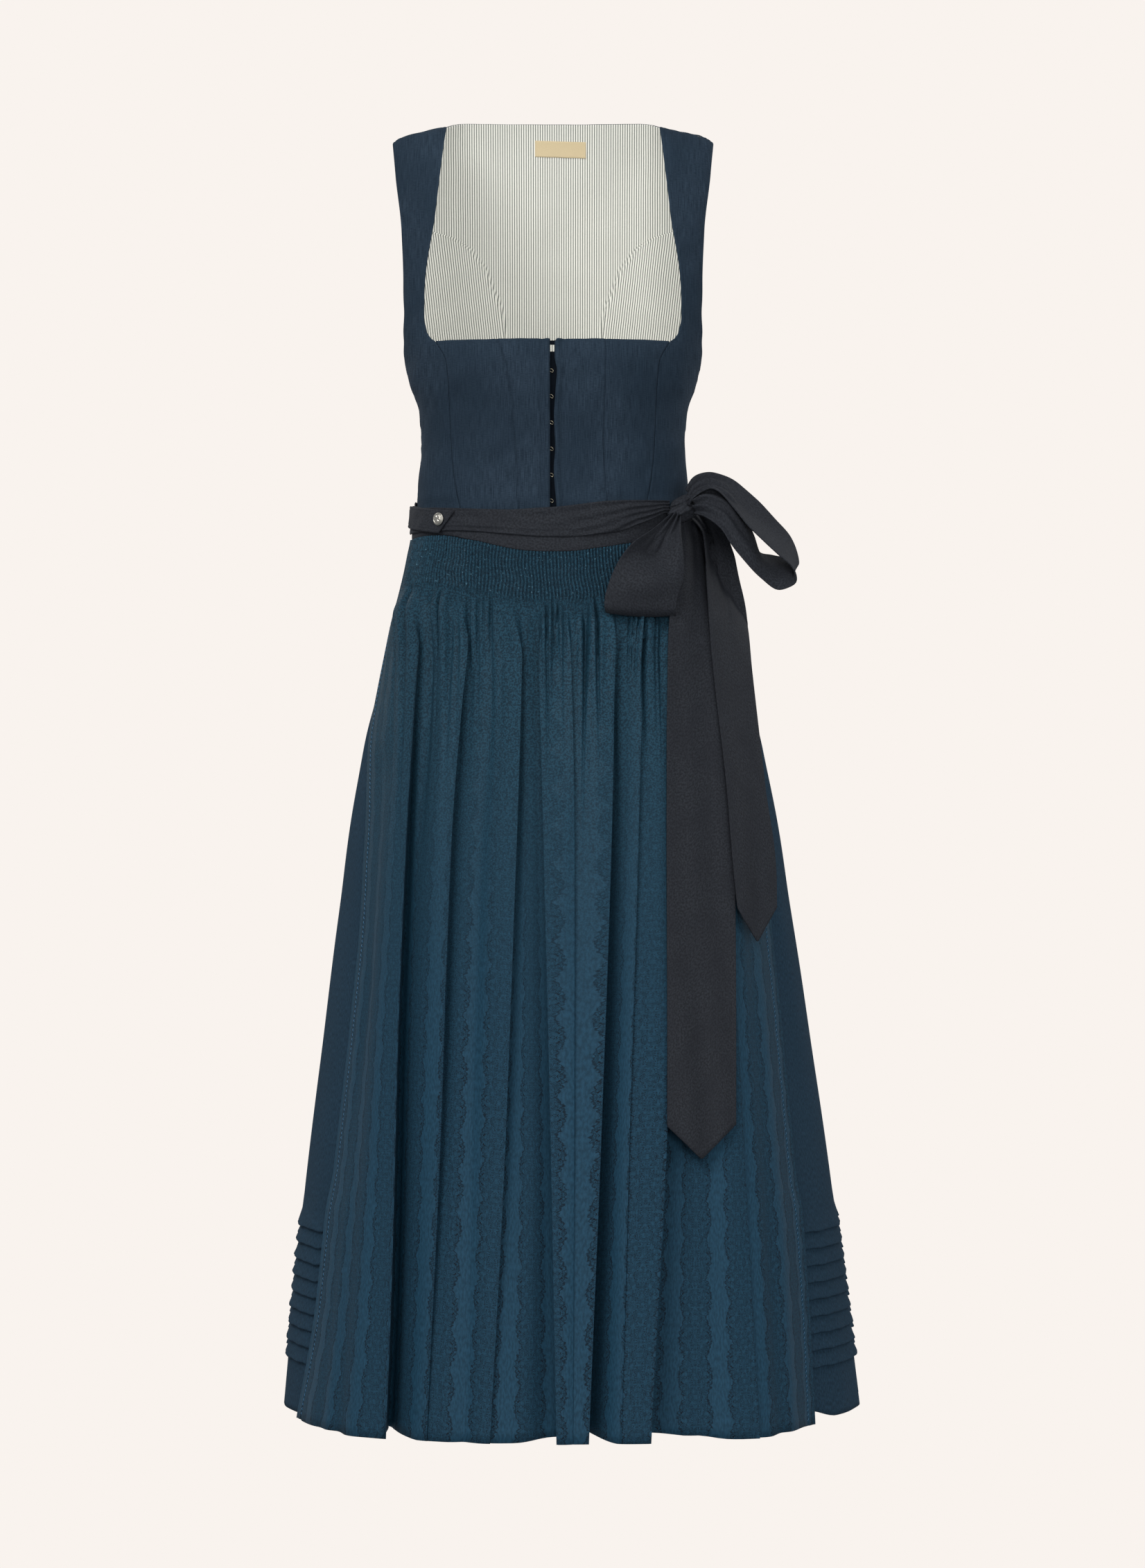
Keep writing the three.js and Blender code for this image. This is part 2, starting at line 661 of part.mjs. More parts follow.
function skirtPanel(angles, fold) {
  const outer = skirtRows().map(({ v, out }) =>
    angles.map((angle) => bodyPoint(angle, v, out + fold(angle, v))),
  );
  const inner = INNER_SKIRT_DEPTHS.map((v) =>
    angles.map((angle) => bodyPoint(angle, v, fold(angle, v) - WALL)),
  );
  return wallGeometry([outer], inner);
}

const SIDE_GAP = 0.09; // degrees, half of the gap at the skirt's side seams

function skirtFront() {
  return skirtPanel(steps(-90 + SIDE_GAP, 90 - SIDE_GAP, 20), () => 0);
}

function skirtBack() {
  return skirtPanel(steps(90 + SIDE_GAP, 270 - SIDE_GAP, 4 * SKIRT_BACK_FOLDS), backFold);
}

// ---- Apron --------------------------------------------------------------------------------

const bandTopAt = curve(BAND_TOP, "x", "v");
const bandBottomAt = curve(BAND_BOTTOM, "x", "v");
const tieTopAt = curve(TIE_TOP, "x", "v");
const tieBottomAt = curve(TIE_BOTTOM, "x", "v");
const apronLeftAt = curve(APRON_EDGES, "v", "left");
const apronRightAt = curve(APRON_EDGES, "v", "right");
const crestAt = curve(APRON_CREST, "v", "out");
const restAt = curve(APRON_REST, "v", "out");

// A fold's column for its three heights, as a value at a depth v.
function foldValue(fold, v, [top, middle, hem]) {
  const table = [
    { v: FOLD_TOP, value: fold[top] },
    { v: FOLD_MIDDLE, value: fold[middle] },
    { v: HEM, value: fold[hem] },
  ];
  return curve(table, "v", "value")(v);
}

// The angles of the apron's left edge, its valleys and its right edge at a depth v.
function apronAnchors(v) {
  const valleys = APRON_FOLDS.map((fold) =>
    angleAt(foldValue(fold, v, ["top", "middle", "hem"]), Math.max(v, FOLD_TOP)),
  );
  return [apronLeftAt(v), ...valleys, apronRightAt(v)];
}

function valleyDepth(index, v) {
  if (index < 0 || index >= APRON_FOLDS.length) return 0;
  return foldValue(APRON_FOLDS[index], v, ["topDepth", "middleDepth", "hemDepth"]);
}

// place counts folds from the left edge: 0 is the edge, 1 the first valley, and so on. Each fold
// leans to the right: it rises slowly out of its left valley and drops sharply into the next.
function apronOut(place, v) {
  const count = APRON_FOLDS.length + 1;
  const index = Math.min(Math.floor(place), count - 1);
  const share = place - index;
  const rise = Math.exp(-((share / FOLD_RISE) ** 2)) * valleyDepth(index - 1, v);
  const drop = Math.exp(-(((1 - share) / FOLD_DROP) ** 2)) * valleyDepth(index, v);
  const edges = smoothStep(0, 0.75, place) * smoothStep(0, 0.9, count - place);
  const crest = (crestAt(v) - restAt(v)) * edges;
  const out = restAt(v) + Math.max(0, crest - rise - drop);
  return mix(SMOCK_CLEARANCE + SMOCK_RELIEF / 2, out, smoothStep(0, SMOCK_RELEASE, v - smockBottom(place)));
}

function apronAngle(place, v) {
  const anchors = apronAnchors(v);
  const index = Math.min(Math.floor(place), anchors.length - 2);
  return mix(anchors[index], anchors[index + 1], place - index);
}

// The smocking follows the band's lower edge.
const bandBottomRound = (angle) => bandBottomAt(bodySurface(angle, WAIST_SEAM).x);
const smockTop = (angle) => bandBottomRound(angle) + SMOCK_SEAM;

function smockBottom(place) {
  return smockTop(apronAngle(place, 440)) + SMOCK_HEIGHT;
}

function apronColumns() {
  const shares = [0, 0.13, 0.3, 0.55, 0.8, 0.92];
  const count = APRON_FOLDS.length + 1;
  return [...range(count, (i) => shares.map((share) => i + share)).flat(), count];
}

function apron() {
  const smocking = [0, 0.5, 1].map((share) =>
    steps(-BAND_ANGLE, BAND_ANGLE, 2 * SMOCK_PLEATS).map((angle, column) => {
      const relief = column % 2 === 1 ? SMOCK_RELIEF : 0;
      return bodyPoint(angle, smockTop(angle) + share * SMOCK_HEIGHT, SMOCK_CLEARANCE + relief);
    }),
  );
  const columns = apronColumns();
  const skirtShares = [0, 0.025, 0.075, 0.16, 0.28, 0.42, 0.56, 0.7, 0.85, 1];
  const body = skirtShares.map((share) =>
    columns.map((place) => {
      const v = mix(smockBottom(place) + 6, HEM, share);
      return bodyPoint(apronAngle(place, v), v, apronOut(place, v));
    }),
  );
  const yokeInner = [0, 0.6].map((share) =>
    columns.map((place) => {
      const angle = apronAngle(place, 440);
      return bodyPoint(angle, smockTop(angle) + share * SMOCK_HEIGHT, SMOCK_CLEARANCE - WALL);
    }),
  );
  return wallGeometry([smocking, body], [...yokeInner, ...offsetGrid(body, -WALL)]);
}

function apronBand() {
  const angles = steps(-BAND_ANGLE, BAND_ANGLE, SMOCK_PLEATS / 2);
  const side = (out) =>
    [0, 0.5, 1].map((share) =>
      angles.map((angle) => {
        const top = bandTopAt(bodySurface(angle, WAIST_SEAM).x);
        return bodyPoint(angle, mix(top, bandBottomRound(angle), share), out);
      }),
    );
  return wallGeometry([side(BAND_GAP + BAND_WALL)], side(BAND_GAP));
}

// ---- Ties, tab and button -----------------------------------------------------------------

const TIE_LAYER = BAND_GAP + BAND_WALL + 0.7;
const TIE_PLEAT = 1.1;
const OVER_TIE = TIE_LAYER + WALL + TIE_PLEAT + SEAM; // what lies on the tie starts this far out

// A tie is drawn together into soft lengthwise pleats.
function tiePiece(first, last, columns, top, bottom, layer) {
  const angles = steps(first, last, columns);
  const shares = steps(0, 1, 4);
  const side = (out, relief) =>
    shares.map((share, row) =>
      angles.map((angle) => {
        const { x } = bodySurface(angle, 385);
        const ridge = row % 2 === 1 ? relief : 0;
        return bodyPoint(angle, mix(top(x), bottom(x), share), out + ridge);
      }),
    );
  return wallGeometry([side(layer + WALL, TIE_PLEAT)], side(layer, 0));
}

const knotFace = (side) => KNOT_ANGLE + side * KNOT_HALF_ANGLE;

function tieFront() {
  return tiePiece(-88, knotFace(-1), 26, tieTopAt, tieBottomAt, TIE_LAYER);
}

function tieRight() {
  return tiePiece(knotFace(1), 88, 8, () => TIE_RIGHT.top, () => TIE_RIGHT.bottom, TIE_LAYER);
}

function tieBack() {
  return tiePiece(89, 271, 26, () => TIE_BACK.top, () => TIE_BACK.bottom, BAND_GAP);
}

// A pointed tab holds the tie at the left, under its button.
function tieTab() {
  const side = (out) =>
    [0, 0.33, 0.66, 1].map((share) =>
      steps(0, 1, 8).map((along) => {
        const angle = mix(TAB.tail, TAB.tip - TAB.slant * share, along);
        const v = mix(TAB.tailMiddle, TAB.tipMiddle, along) + (share - 0.5) * TAB.height;
        return bodyPoint(angle, v, out);
      }),
    );
  return wallGeometry([side(OVER_TIE + WALL)], side(OVER_TIE));
}

function turnedTo(geometry, place, outward) {
  const turn = new THREE.Quaternion().setFromUnitVectors(new THREE.Vector3(0, 0, 1), outward);
  return geometry.applyQuaternion(turn).translate(place.x, place.y, place.z);
}

function outwardAt(angle, v) {
  return bodyPoint(angle, v, 1).sub(bodyPoint(angle, v, 0)).normalize();
}

function tabButton() {
  const angle = angleAt(BUTTON.x, BUTTON.v);
  const height = BUTTON_HEIGHT - BUTTON_RIM;
  const dome = steps(0, 80, 4).map((rise) => {
    const turn = radians(rise);
    const radius = BUTTON_RADIUS * Math.cos(turn);
    return new THREE.Vector2(radius, BUTTON_RIM + height * Math.sin(turn));
  });
  const foot = [new THREE.Vector2(0, 0), new THREE.Vector2(BUTTON_RADIUS, 0)];
  const profile = [...foot, ...dome, new THREE.Vector2(0, BUTTON_HEIGHT)];
  const button = new THREE.LatheGeometry(profile, 14).rotateX(Math.PI / 2);
  return turnedTo(button, bodyPoint(angle, BUTTON.v, OVER_TIE + WALL + BUTTON_GAP), outwardAt(angle, BUTTON.v));
}

// ---- Bow ----------------------------------------------------------------------------------

function bowKnot() {
  const knot = new THREE.SphereGeometry(1, 14, 9);
  knot.scale(KNOT_RADII.along, KNOT_RADII.across, KNOT_RADII.out);
  const place = bodyPoint(KNOT_ANGLE, KNOT_DEPTH, TIE_LAYER + KNOT_RADII.out - 0.4);
  return turnedTo(knot, place, outwardAt(KNOT_ANGLE, KNOT_DEPTH));
}

// A ribbon between two edges, smooth along its length and lightly crowned across it.
function ribbon(edges, lengthSteps, widthSteps, crown) {
  const line = (keys) =>
    new THREE.CatmullRomCurve3(
      edges.map((row) => new THREE.Vector3(...keys.map((key) => row[key]))),
      false,
      "centripetal",
    );
  const [first, second] = [line(["ax", "ay", "az"]), line(["bx", "by", "bz"])];
  const grid = steps(0, 1, lengthSteps).map((along) => {
    const [a, b] = [first.getPoint(along), second.getPoint(along)];
    return steps(0, 1, widthSteps).map((across) => a.clone().lerp(b, across));
  });
  const crowned = offsetGrid(grid, 1).map((row, r) =>
    row.map((point, c) => {
      const height = crown * Math.sin((Math.PI * c) / widthSteps);
      return grid[r][c].clone().lerp(point, height);
    }),
  );
  return wallGeometry([crowned], offsetGrid(crowned, -WALL));
}

// The tails hang down over the apron, and lie on the crests of its folds.
function tailPiece(edges, tip, lift, lengthSteps) {
  const leftAt = curve(edges, "v", "left");
  const rightAt = curve(edges, "v", "right");
  const first = edges[0].v;
  const last = edges.at(-1).v;
  const across = steps(0, 1, 4);
  const outer = steps(0, 1, lengthSteps).map((along) =>
    across.map((share) => {
      const point = 1 - Math.abs(2 * share - 1);
      const v = mix(first, last + tip * point, along ** 1.25);
      const x = mix(leftAt(v), rightAt(v), share);
      const standOff = (x - driftAt(v)) / 0.985 - halfWidthAt(v);
      const out = Math.max(standOff, lift(v) + 1.2 * Math.cos(share * 2 * Math.PI));
      return bodyPoint(tailAngle(x, v, out), v, out);
    }),
  );
  return wallGeometry([outer], offsetGrid(outer, -WALL));
}

// The angle at which a layer that lies out from the body has a given x.
function tailAngle(x, v, out) {
  const reach = halfWidthAt(v) + out;
  const share = clamp((x - driftAt(v)) / reach, 0, 0.996);
  return degrees(Math.asin(share ** (exponentAt(v) / 2)));
}

const TAIL_CLEARANCE = 3.4;
const tailLift = (v) => Math.max(OVER_TIE + 3, crestAt(v) + TAIL_CLEARANCE);

function tailLong() {
  return tailPiece(TAIL_LONG, TAIL_LONG_TIP, tailLift, 13);
}

function tailShort() {
  return tailPiece(TAIL_SHORT, TAIL_SHORT_TIP, (v) => tailLift(v) + 4, 10);
}

// ---- The whole dress ----------------------------------------------------------------------

const dirndl = new THREE.Group();

function add(name, geometry, material) {
  const mesh = new THREE.Mesh(geometry, material);
  mesh.name = name;
  dirndl.add(mesh);
}

for (const [side, word] of [[-1, "left"], [1, "right"]]) {
  add(`bodice_front_centre_${word}`, frontCentre(side), BODICE_CLOTH);
  add(`bodice_front_middle_${word}`, frontMiddle(side), BODICE_CLOTH);
  add(`bodice_front_side_${word}`, frontSide(side), BODICE_CLOTH);
  add(`bodice_back_side_${word}`, backSide(side, 0, WALL), BODICE_CLOTH);
  add(`lining_back_side_${word}`, backSide(side, -WALL - LINING_GAP, LINING_WALL), LINING_CLOTH);
}
add("bodice_back_centre", backCentre(0, WALL), BODICE_CLOTH);
add("lining_back_centre", backCentre(-WALL - LINING_GAP, LINING_WALL), LINING_CLOTH);
add("neck_label", neckLabel(), LABEL_CLOTH);
add("closure_placket", closurePlacket(), BODICE_CLOTH);
range(HOOKS, (index) => add(`hook_${index + 1}`, hookBar(index), SILVER));

add("skirt_front", skirtFront(), SKIRT_CLOTH);
add("skirt_back", skirtBack(), SKIRT_CLOTH);
add("apron", apron(), APRON_CLOTH);
add("apron_band", apronBand(), TIE_CLOTH);

add("tie_front", tieFront(), TIE_CLOTH);
add("tie_right", tieRight(), TIE_CLOTH);
add("tie_back", tieBack(), TIE_CLOTH);
add("tie_tab", tieTab(), TIE_CLOTH);
add("tab_button", tabButton(), SILVER);
add("bow_knot", bowKnot(), TIE_CLOTH);
add("bow_loop_right", ribbon(LOOP_RIGHT, 22, 2, 2), TIE_CLOTH);
add("bow_loop_left", ribbon(LOOP_LEFT, 22, 2, 2), TIE_CLOTH);
add("bow_tail_long", tailLong(), TIE_CLOTH);
add("bow_tail_short", tailShort(), TIE_CLOTH);

export default dirndl;
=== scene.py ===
"""The looks of the dirndl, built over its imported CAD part.

Shapes are worked out in millimetres as grids of points and become metres when a mesh is made.
v is the depth below the shoulders. An angle of 0 is the middle of the front and 90 the right side.
Left and right are those of someone who looks at the front. A side is -1 for left and 1 for right.
"""

import math

import bpy
import numpy as np
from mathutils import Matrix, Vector


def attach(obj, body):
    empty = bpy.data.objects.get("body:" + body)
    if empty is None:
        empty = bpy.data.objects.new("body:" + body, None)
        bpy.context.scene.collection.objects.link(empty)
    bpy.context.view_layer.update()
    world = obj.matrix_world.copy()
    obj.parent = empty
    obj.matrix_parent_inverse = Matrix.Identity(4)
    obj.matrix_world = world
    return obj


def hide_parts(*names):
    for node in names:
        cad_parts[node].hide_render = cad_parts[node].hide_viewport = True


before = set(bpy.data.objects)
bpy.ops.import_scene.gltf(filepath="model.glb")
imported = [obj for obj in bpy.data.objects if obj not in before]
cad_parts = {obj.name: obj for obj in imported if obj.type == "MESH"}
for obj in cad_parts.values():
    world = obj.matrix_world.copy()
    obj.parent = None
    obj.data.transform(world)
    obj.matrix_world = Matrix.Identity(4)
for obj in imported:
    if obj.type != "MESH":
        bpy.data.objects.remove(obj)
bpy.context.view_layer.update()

MM = 0.001
WORDS = {-1: "left", 1: "right"}

# ---- Sizes ----------------------------------------------------------------------------------

WALL = 1.2
LINING_WALL = 1.0
LINING_GAP = 0.5
SEAM = -0.1  # neighbouring panels meet without a slit of light

SHOULDER_DROP_REACH = 150  # the shoulder's slope dies out this far down
NAPE_FLAT = 86  # the back is drawn up behind the neck, evenly to this far from its middle
NAPE_WIDTH = 116  # and not at all beyond this
NAPE_RISE = 45
NAPE_LIFT = 7  # the middle of the back's top edge stands this far above the shoulders
NAPE_REACH = 230  # the back is no longer drawn up from this far down

NECK_DEPTH = 215
ARMHOLE_DEPTH = 235
BUST = {"x": 66, "v": 226, "width": 42, "height": 34, "fullness": 5}
WAIST_SEAM = 388
HEM = 1235
SKIRT_HEM = 1232
TOP = 0.0003  # the shoulder's edge, just off the point where the body's surface ends

LABEL_TOP = 14.5
LABEL_BOTTOM = 29
LABEL_SHARES = (-0.128, 0.064)  # its two ends, as shares of the back's half width
LABEL_WALL = 0.6

HOOKS = 6
FIRST_HOOK = 245.5
HOOK_PITCH = 24.4
HOOK_WIRE = 0.3
PLACKET_X = 13
PLACKET_DEPTH = WALL + 1.9

TUCKS = 9
FIRST_TUCK = 1059  # lower edge of the first tuck
TUCK_PITCH = 15.6
TUCK_EDGE = [(-0.7, 3.3), (0.1, 2.9), (0.3, 1.8), (-0.3, 0.9), (-0.1, 0.1)]  # down from its edge, lift
BACK_FOLDS = 12

SMOCK_PLEATS = 120
SMOCK_HEIGHT = 45
# the material paints shade between the smocking's pleats at this pitch
PLEAT_WIDTH = 3.0  # of the cloth's own width for each pleat, in the pattern
SMOCK_SEAM = 0.6  # the smocking starts this far below the band
SMOCK_RELIEF = 2.6
SMOCK_CLEARANCE = 2.8  # the smocking's valleys, above the skirt
SMOCK_RELEASE = 26  # the pleats have opened into folds this far below the smocking
SIDE_HEM = 15.0
HEM_RISE = 0.2  # by how much of a fold's depth the hem is higher in its valley
STITCH_STEP = 4.4

BAND_GAP = 0.7
BAND_WALL = 1.5
BAND_ANGLE = 88  # the band ends this far round from the middle of the front
TIE_LAYER = BAND_GAP + BAND_WALL + 0.7
TIE_PLEAT = 1.1
OVER_TIE = TIE_LAYER + WALL + TIE_PLEAT + 0.3  # what lies on the tie starts this far out
TIE_RIGHT = (363, 382)  # top and bottom
TIE_BACK = (364, 398)

KNOT_ANGLE = 58
KNOT_DEPTH = 372
KNOT_HALF_ANGLE = 5.5  # the tie is cut away on both sides of the knot
KNOT = {"along": 17, "up": 11.5, "out": 9.5, "lean": 0.45}
TAB = {"tail": -86, "tip": -39.5, "slant": 9, "height": 21, "tail_v": 379, "tip_v": 387}
BUTTON = {"x": -104.0, "v": 384.0, "radius": 6.2, "dome": 2.5, "rim": 0.7}

# v, half width, front and back half axes, and drift of the middle to the right
SECTIONS = [
    (0, 161, 0, 0, 0),
    (50, 160, 54, 46, 0),
    (100, 157, 77, 66, 0),
    (150, 154.5, 95, 83, 0),
    (180, 152.5, 104, 90, 0),
    (214, 147.6, 112, 95, 0),
    (234, 142.5, 115, 97, 0),
    (254, 137, 114, 96, 0),
    (281, 129, 109, 92, 0),
    (315, 127.3, 102, 87, 0),
    (345, 130, 99, 85, 0),
    (388, 133.5, 98, 90, 0),
    (416, 138, 101, 99, 0),
    (448, 147, 108, 113, 2),
    (482, 158, 117, 127, 4),
    (549, 178.5, 133, 152, 9),
    (616, 195.5, 148, 175, 10),
    (750, 217, 174, 214, 11.5),
    (884, 235.5, 198, 243, 13.5),
    (1050, 257.5, 226, 270, 15.2),
    (1235, 278, 256, 292, 18),
]
SHOULDER_LINE = [(100, 0), (126, 6), (146, 11.5), (153, 15), (161, 26)]

# Seams and edges of the bodice: v, x
PRINCESS_SEAM_LEFT = [(215, -53), (245, -43.5), (300, -37), (388, -31.5)]
PRINCESS_SEAM_RIGHT = [(215, 50.5), (245, 50.5), (300, 49), (388, 54.5)]
SIDE_FRONT_SEAM = [(215, 112), (242, 101), (320, 97), (388, 86)]
STRAP_INNER_EDGE = [(0, 103), (90, 113), (188, 123.5), (202, 121.5), (211, 117.5), (215, 112)]
BACK_SEAM = [(84, 150), (88, 138), (96, 117), (106, 94), (119, 77), (147, 61), (190, 49), (388, 40)]
ARMHOLE = [(0, 73.5), (40, 70), (110, 66.5), (175, 68), (205, 73), (224, 80.5), (232, 86), (235, 90)]

# Edges of the band and the tie across it: x, v
BAND_TOP = [(-140, 371), (0, 376), (140, 371)]
BAND_BOTTOM = [(-140, 402), (-110, 399), (-78, 404), (0, 416), (45, 412), (78, 407), (140, 403)]
TIE_TOP = [(-140, 366), (-96, 376.5), (0, 373.5), (60, 367), (104, 366)]
TIE_BOTTOM = [(-140, 396), (-100, 395), (0, 402), (45, 399), (80, 389), (104, 378)]

# Side edges of the apron: v, left angle, right angle
APRON_EDGES = [
    (396, -BAND_ANGLE, BAND_ANGLE),
    (500, -85, 85),
    (588, -75, 76),
    (714, -63, 64),
    (850, -60.5, 60),
    (1092, -61, 56),
    (1235, -66, 53),
]
# Valleys between the apron's folds: x at the top, middle and hem, then the depth at each. The last
# column is 1 where the fold at the valley's left hangs over it, and -1 where the one at its right does.
APRON_FOLDS = [
    (-118, -134, -143, 5, 20, 36, 1),
    (-77, -92, -96, 8, 14, 3, 1),
    (-28, -34, -46, 7, 13, 3, 1),
    (-14, -5, 8, 8, 13, 25, -1),
    (16, 20, 19, 5, 3, 0, 1),
    (58, 50, 29, 8, 22, 38, 1),
    (84, 73, 57, 7, 5, 2, 1),
    (110, 104, 80, 5, 19, 34, 1),
    (130, 150, 165, 3, 4, 6, 1),
]
SHARP = 0.2  # share of a fold's width over which it turns under where it hangs over a valley
SLOW = 0.5  # and over which it rises from the valley elsewhere
FOLD_TOP = 465
FOLD_MIDDLE = 740
APRON_CREST = [(440, 6.5), (500, 12), (600, 19), (740, 28), (1000, 40), (1235, 54)]
APRON_REST = [(396, 2.6), (1000, 2.6), (1040, 6.4), (1235, 6.4)]

# Soft creases: x where they start, middle and end, v where they start, peak and end, depth, width
SOFT_CREASES = [
    (-47, -65, -68, 455, 760, 1240, 5, 9),
    (-100, -112, -118, 450, 560, 760, 4, 5),
    (-68, -73, -74, 450, 500, 600, 4, 4),
    (-36, -38, -40, 450, 490, 560, 3, 3),
    (5, 1, -2, 450, 500, 590, 3, 3.5),
    (28, 31, 34, 450, 520, 640, 3.5, 4.5),
    (97, 98, 99, 450, 500, 620, 3.5, 4),
    (-150, -168, -172, 600, 1000, 1240, 6, 10),
    (-160, -186, -190, 800, 1100, 1240, 4, 7),
    (24, 26, 28, 640, 900, 1240, 2.5, 10),
    (125, 122, 124, 700, 1000, 1240, 5, 10),
    (172, 182, 188, 640, 1000, 1240, 6, 9),
]

# The slit between the front edges: v, x. The right edge is drawn to the left one between some hooks.
SLIT_LEFT_X = -2.4
SLIT_RIGHT_WAVE = [
    (215, 3.6), (219, 2.0), (232, 1.8), (245, 4.0), (256, 3.2), (270, 2.3), (288, 1.2),
    (303, 1.7), (318, 2.3), (336, 1.0), (350, 1.6), (366, 3.0), (388, 4.2),
]

# The bow loops as the ribbon's two edges, from the knot, round the loop and back. The right loop's
# points were read in an enlarged part of the photo: across, down, and y in millimetres.
CAMERA_X, CAMERA_DISTANCE, CAMERA_Z = 18.8, 5000, -636
PHOTO_MIDDLE = (826, 1131)
PIXEL = 0.67  # millimetres for each of the photo's pixels where y is 0
ENLARGED_FROM = (800, 660)
ENLARGED_BY = 2.2
RIGHT_NEAR_EDGE = [
    (446, 180, -78), (478, 190, -88), (528, 226, -96), (565, 281, -99), (610, 330, -100),
    (660, 380, -100), (708, 420, -98), (748, 413, -96), (766, 400, -97), (769, 383, -99),
    (755, 350, -100), (712, 312, -100), (660, 266, -99), (615, 222, -97), (570, 160, -94),
    (530, 114, -90), (500, 100, -86), (468, 112, -80), (440, 132, -76), (428, 152, -72),
]
RIGHT_FAR_EDGE = [
    (448, 120, -70), (488, 90, -72), (548, 104, -72), (602, 176, -70), (630, 240, -66),
    (650, 298, -60), (692, 308, -54), (742, 320, -50), (766, 340, -50), (771, 338, -50),
    (766, 300, -50), (745, 245, -50), (705, 195, -50), (660, 150, -50), (605, 108, -50),
    (560, 74, -50), (525, 58, -52), (488, 51, -56), (446, 64, -58), (418, 104, -60),
]


def from_photo(across, down, y):
    """Where a point of the enlarged photo lies, to a tenth of a millimetre."""
    column = ENLARGED_FROM[0] + across / ENLARGED_BY
    row = ENLARGED_FROM[1] + down / ENLARGED_BY
    nearer = CAMERA_DISTANCE / (CAMERA_DISTANCE + y)
    x = CAMERA_X + (column - PHOTO_MIDDLE[0]) * PIXEL / nearer
    z = CAMERA_Z + (PHOTO_MIDDLE[1] - row) * PIXEL / nearer
    return round(x, 1), y, round(z, 1)


LOOP_RIGHT = [from_photo(*near) + from_photo(*far) for near, far in zip(RIGHT_NEAR_EDGE, RIGHT_FAR_EDGE)]
LOOP_LEFT = [
    (113, -75.2, -378.5, 122, -71.2, -381),
    (93, -113, -396, 122, -99, -401),
    (74, -131, -411, 124, -111, -422),
    (60, -137, -431, 124, -115, -441),
    (50, -140, -458, 118, -119, -459),
    (49, -138, -471, 116, -118, -472),
    (52, -128, -475, 118, -108, -476),
    (56, -122, -464, 121, -101, -465),
    (68, -119, -431, 122, -97, -433),
    (88, -112, -405, 120, -94, -408),
    (112, -72.2, -380.5, 121, -67.2, -383),
]

# The bow's tails: v, left x, right x
TAIL_LONG = [
    (384, 121, 146),
    (404, 118, 155),
    (447, 116.5, 160),
    (523, 112, 164),
    (640, 110, 171),
    (745, 109.5, 174.5),
    (951, 108.8, 173.4),
]
TAIL_LONG_TIP = 31
TAIL_SHORT = [
    (376, 126, 152),
    (404, 146, 168),
    (447, 149, 180),
    (482, 152, 187),
    (523, 155, 191),
    (640, 167.5, 204),
    (745, 176, 214),
    (752, 177, 214),
]
TAIL_SHORT_TIP = 32


# ---- Numbers and curves ---------------------------------------------------------------------


def mix(a, b, t):
    return a + (b - a) * t


def smooth_step(low, high, value):
    t = np.clip((value - low) / (high - low), 0, 1)
    return t * t * (3 - 2 * t)


def bell(value, width):
    return np.exp(-((value / width) ** 2))


def curve(rows, column=1, transform=lambda values: values):
    """A smooth curve through a table's rows that never overshoots them."""
    xs = np.array([row[0] for row in rows], float)
    ys = transform(np.array([row[column] for row in rows], float))
    slopes = np.diff(ys) / np.diff(xs)
    before, after = slopes[:-1], slopes[1:]
    turns = before * after <= 0
    inner = np.where(turns, 0, 2 * before * after / np.where(turns, 1, before + after))
    tangents = np.concatenate([slopes[:1], inner, slopes[-1:]])

    def at(value):
        value = np.clip(np.asarray(value, float), xs[0], xs[-1])
        i = np.clip(np.searchsorted(xs, value) - 1, 0, len(xs) - 2)
        width = xs[i + 1] - xs[i]
        t = (value - xs[i]) / width
        a = ys[i] + tangents[i] * width * t
        b = ys[i + 1] - tangents[i + 1] * width * (1 - t)
        return mix(a, b, t * t * (3 - 2 * t))

    return at


def ripple(x, y, seed, wave):
    """Soft uneven hills between about -1 and 1, whose size is about wave."""
    random = np.random.default_rng(seed)
    total = 0
    for _ in range(7):
        turn = random.uniform(0, math.pi)
        reach = wave * random.uniform(0.7, 1.6)
        phase = random.uniform(0, 2 * math.pi)
        total = total + np.sin(2 * math.pi * (x * math.cos(turn) + y * math.sin(turn)) / reach + phase)
    return total / 3


def even(low, high, count):
    return np.linspace(low, high, count)


def edge_dense(count, power=1.6):
    """Numbers from 0 to 1 that lie closer together near both ends."""
    t = np.linspace(-1, 1, count)
    return 0.5 + 0.5 * np.sign(t) * (1 - (1 - np.abs(t)) ** power)


# ---- The body surface -----------------------------------------------------------------------

half_width_at = curve(SECTIONS, 1)
front_squared_at = curve(SECTIONS, 2, np.square)
back_squared_at = curve(SECTIONS, 3, np.square)
drift_at = curve(SECTIONS, 4)
shoulder_drop_at = curve(SHOULDER_LINE)


def exponent_at(v):
    """How square the body's section is: 2 would be an ellipse."""
    return mix(2.35, 2.05, smooth_step(380, 620, v))


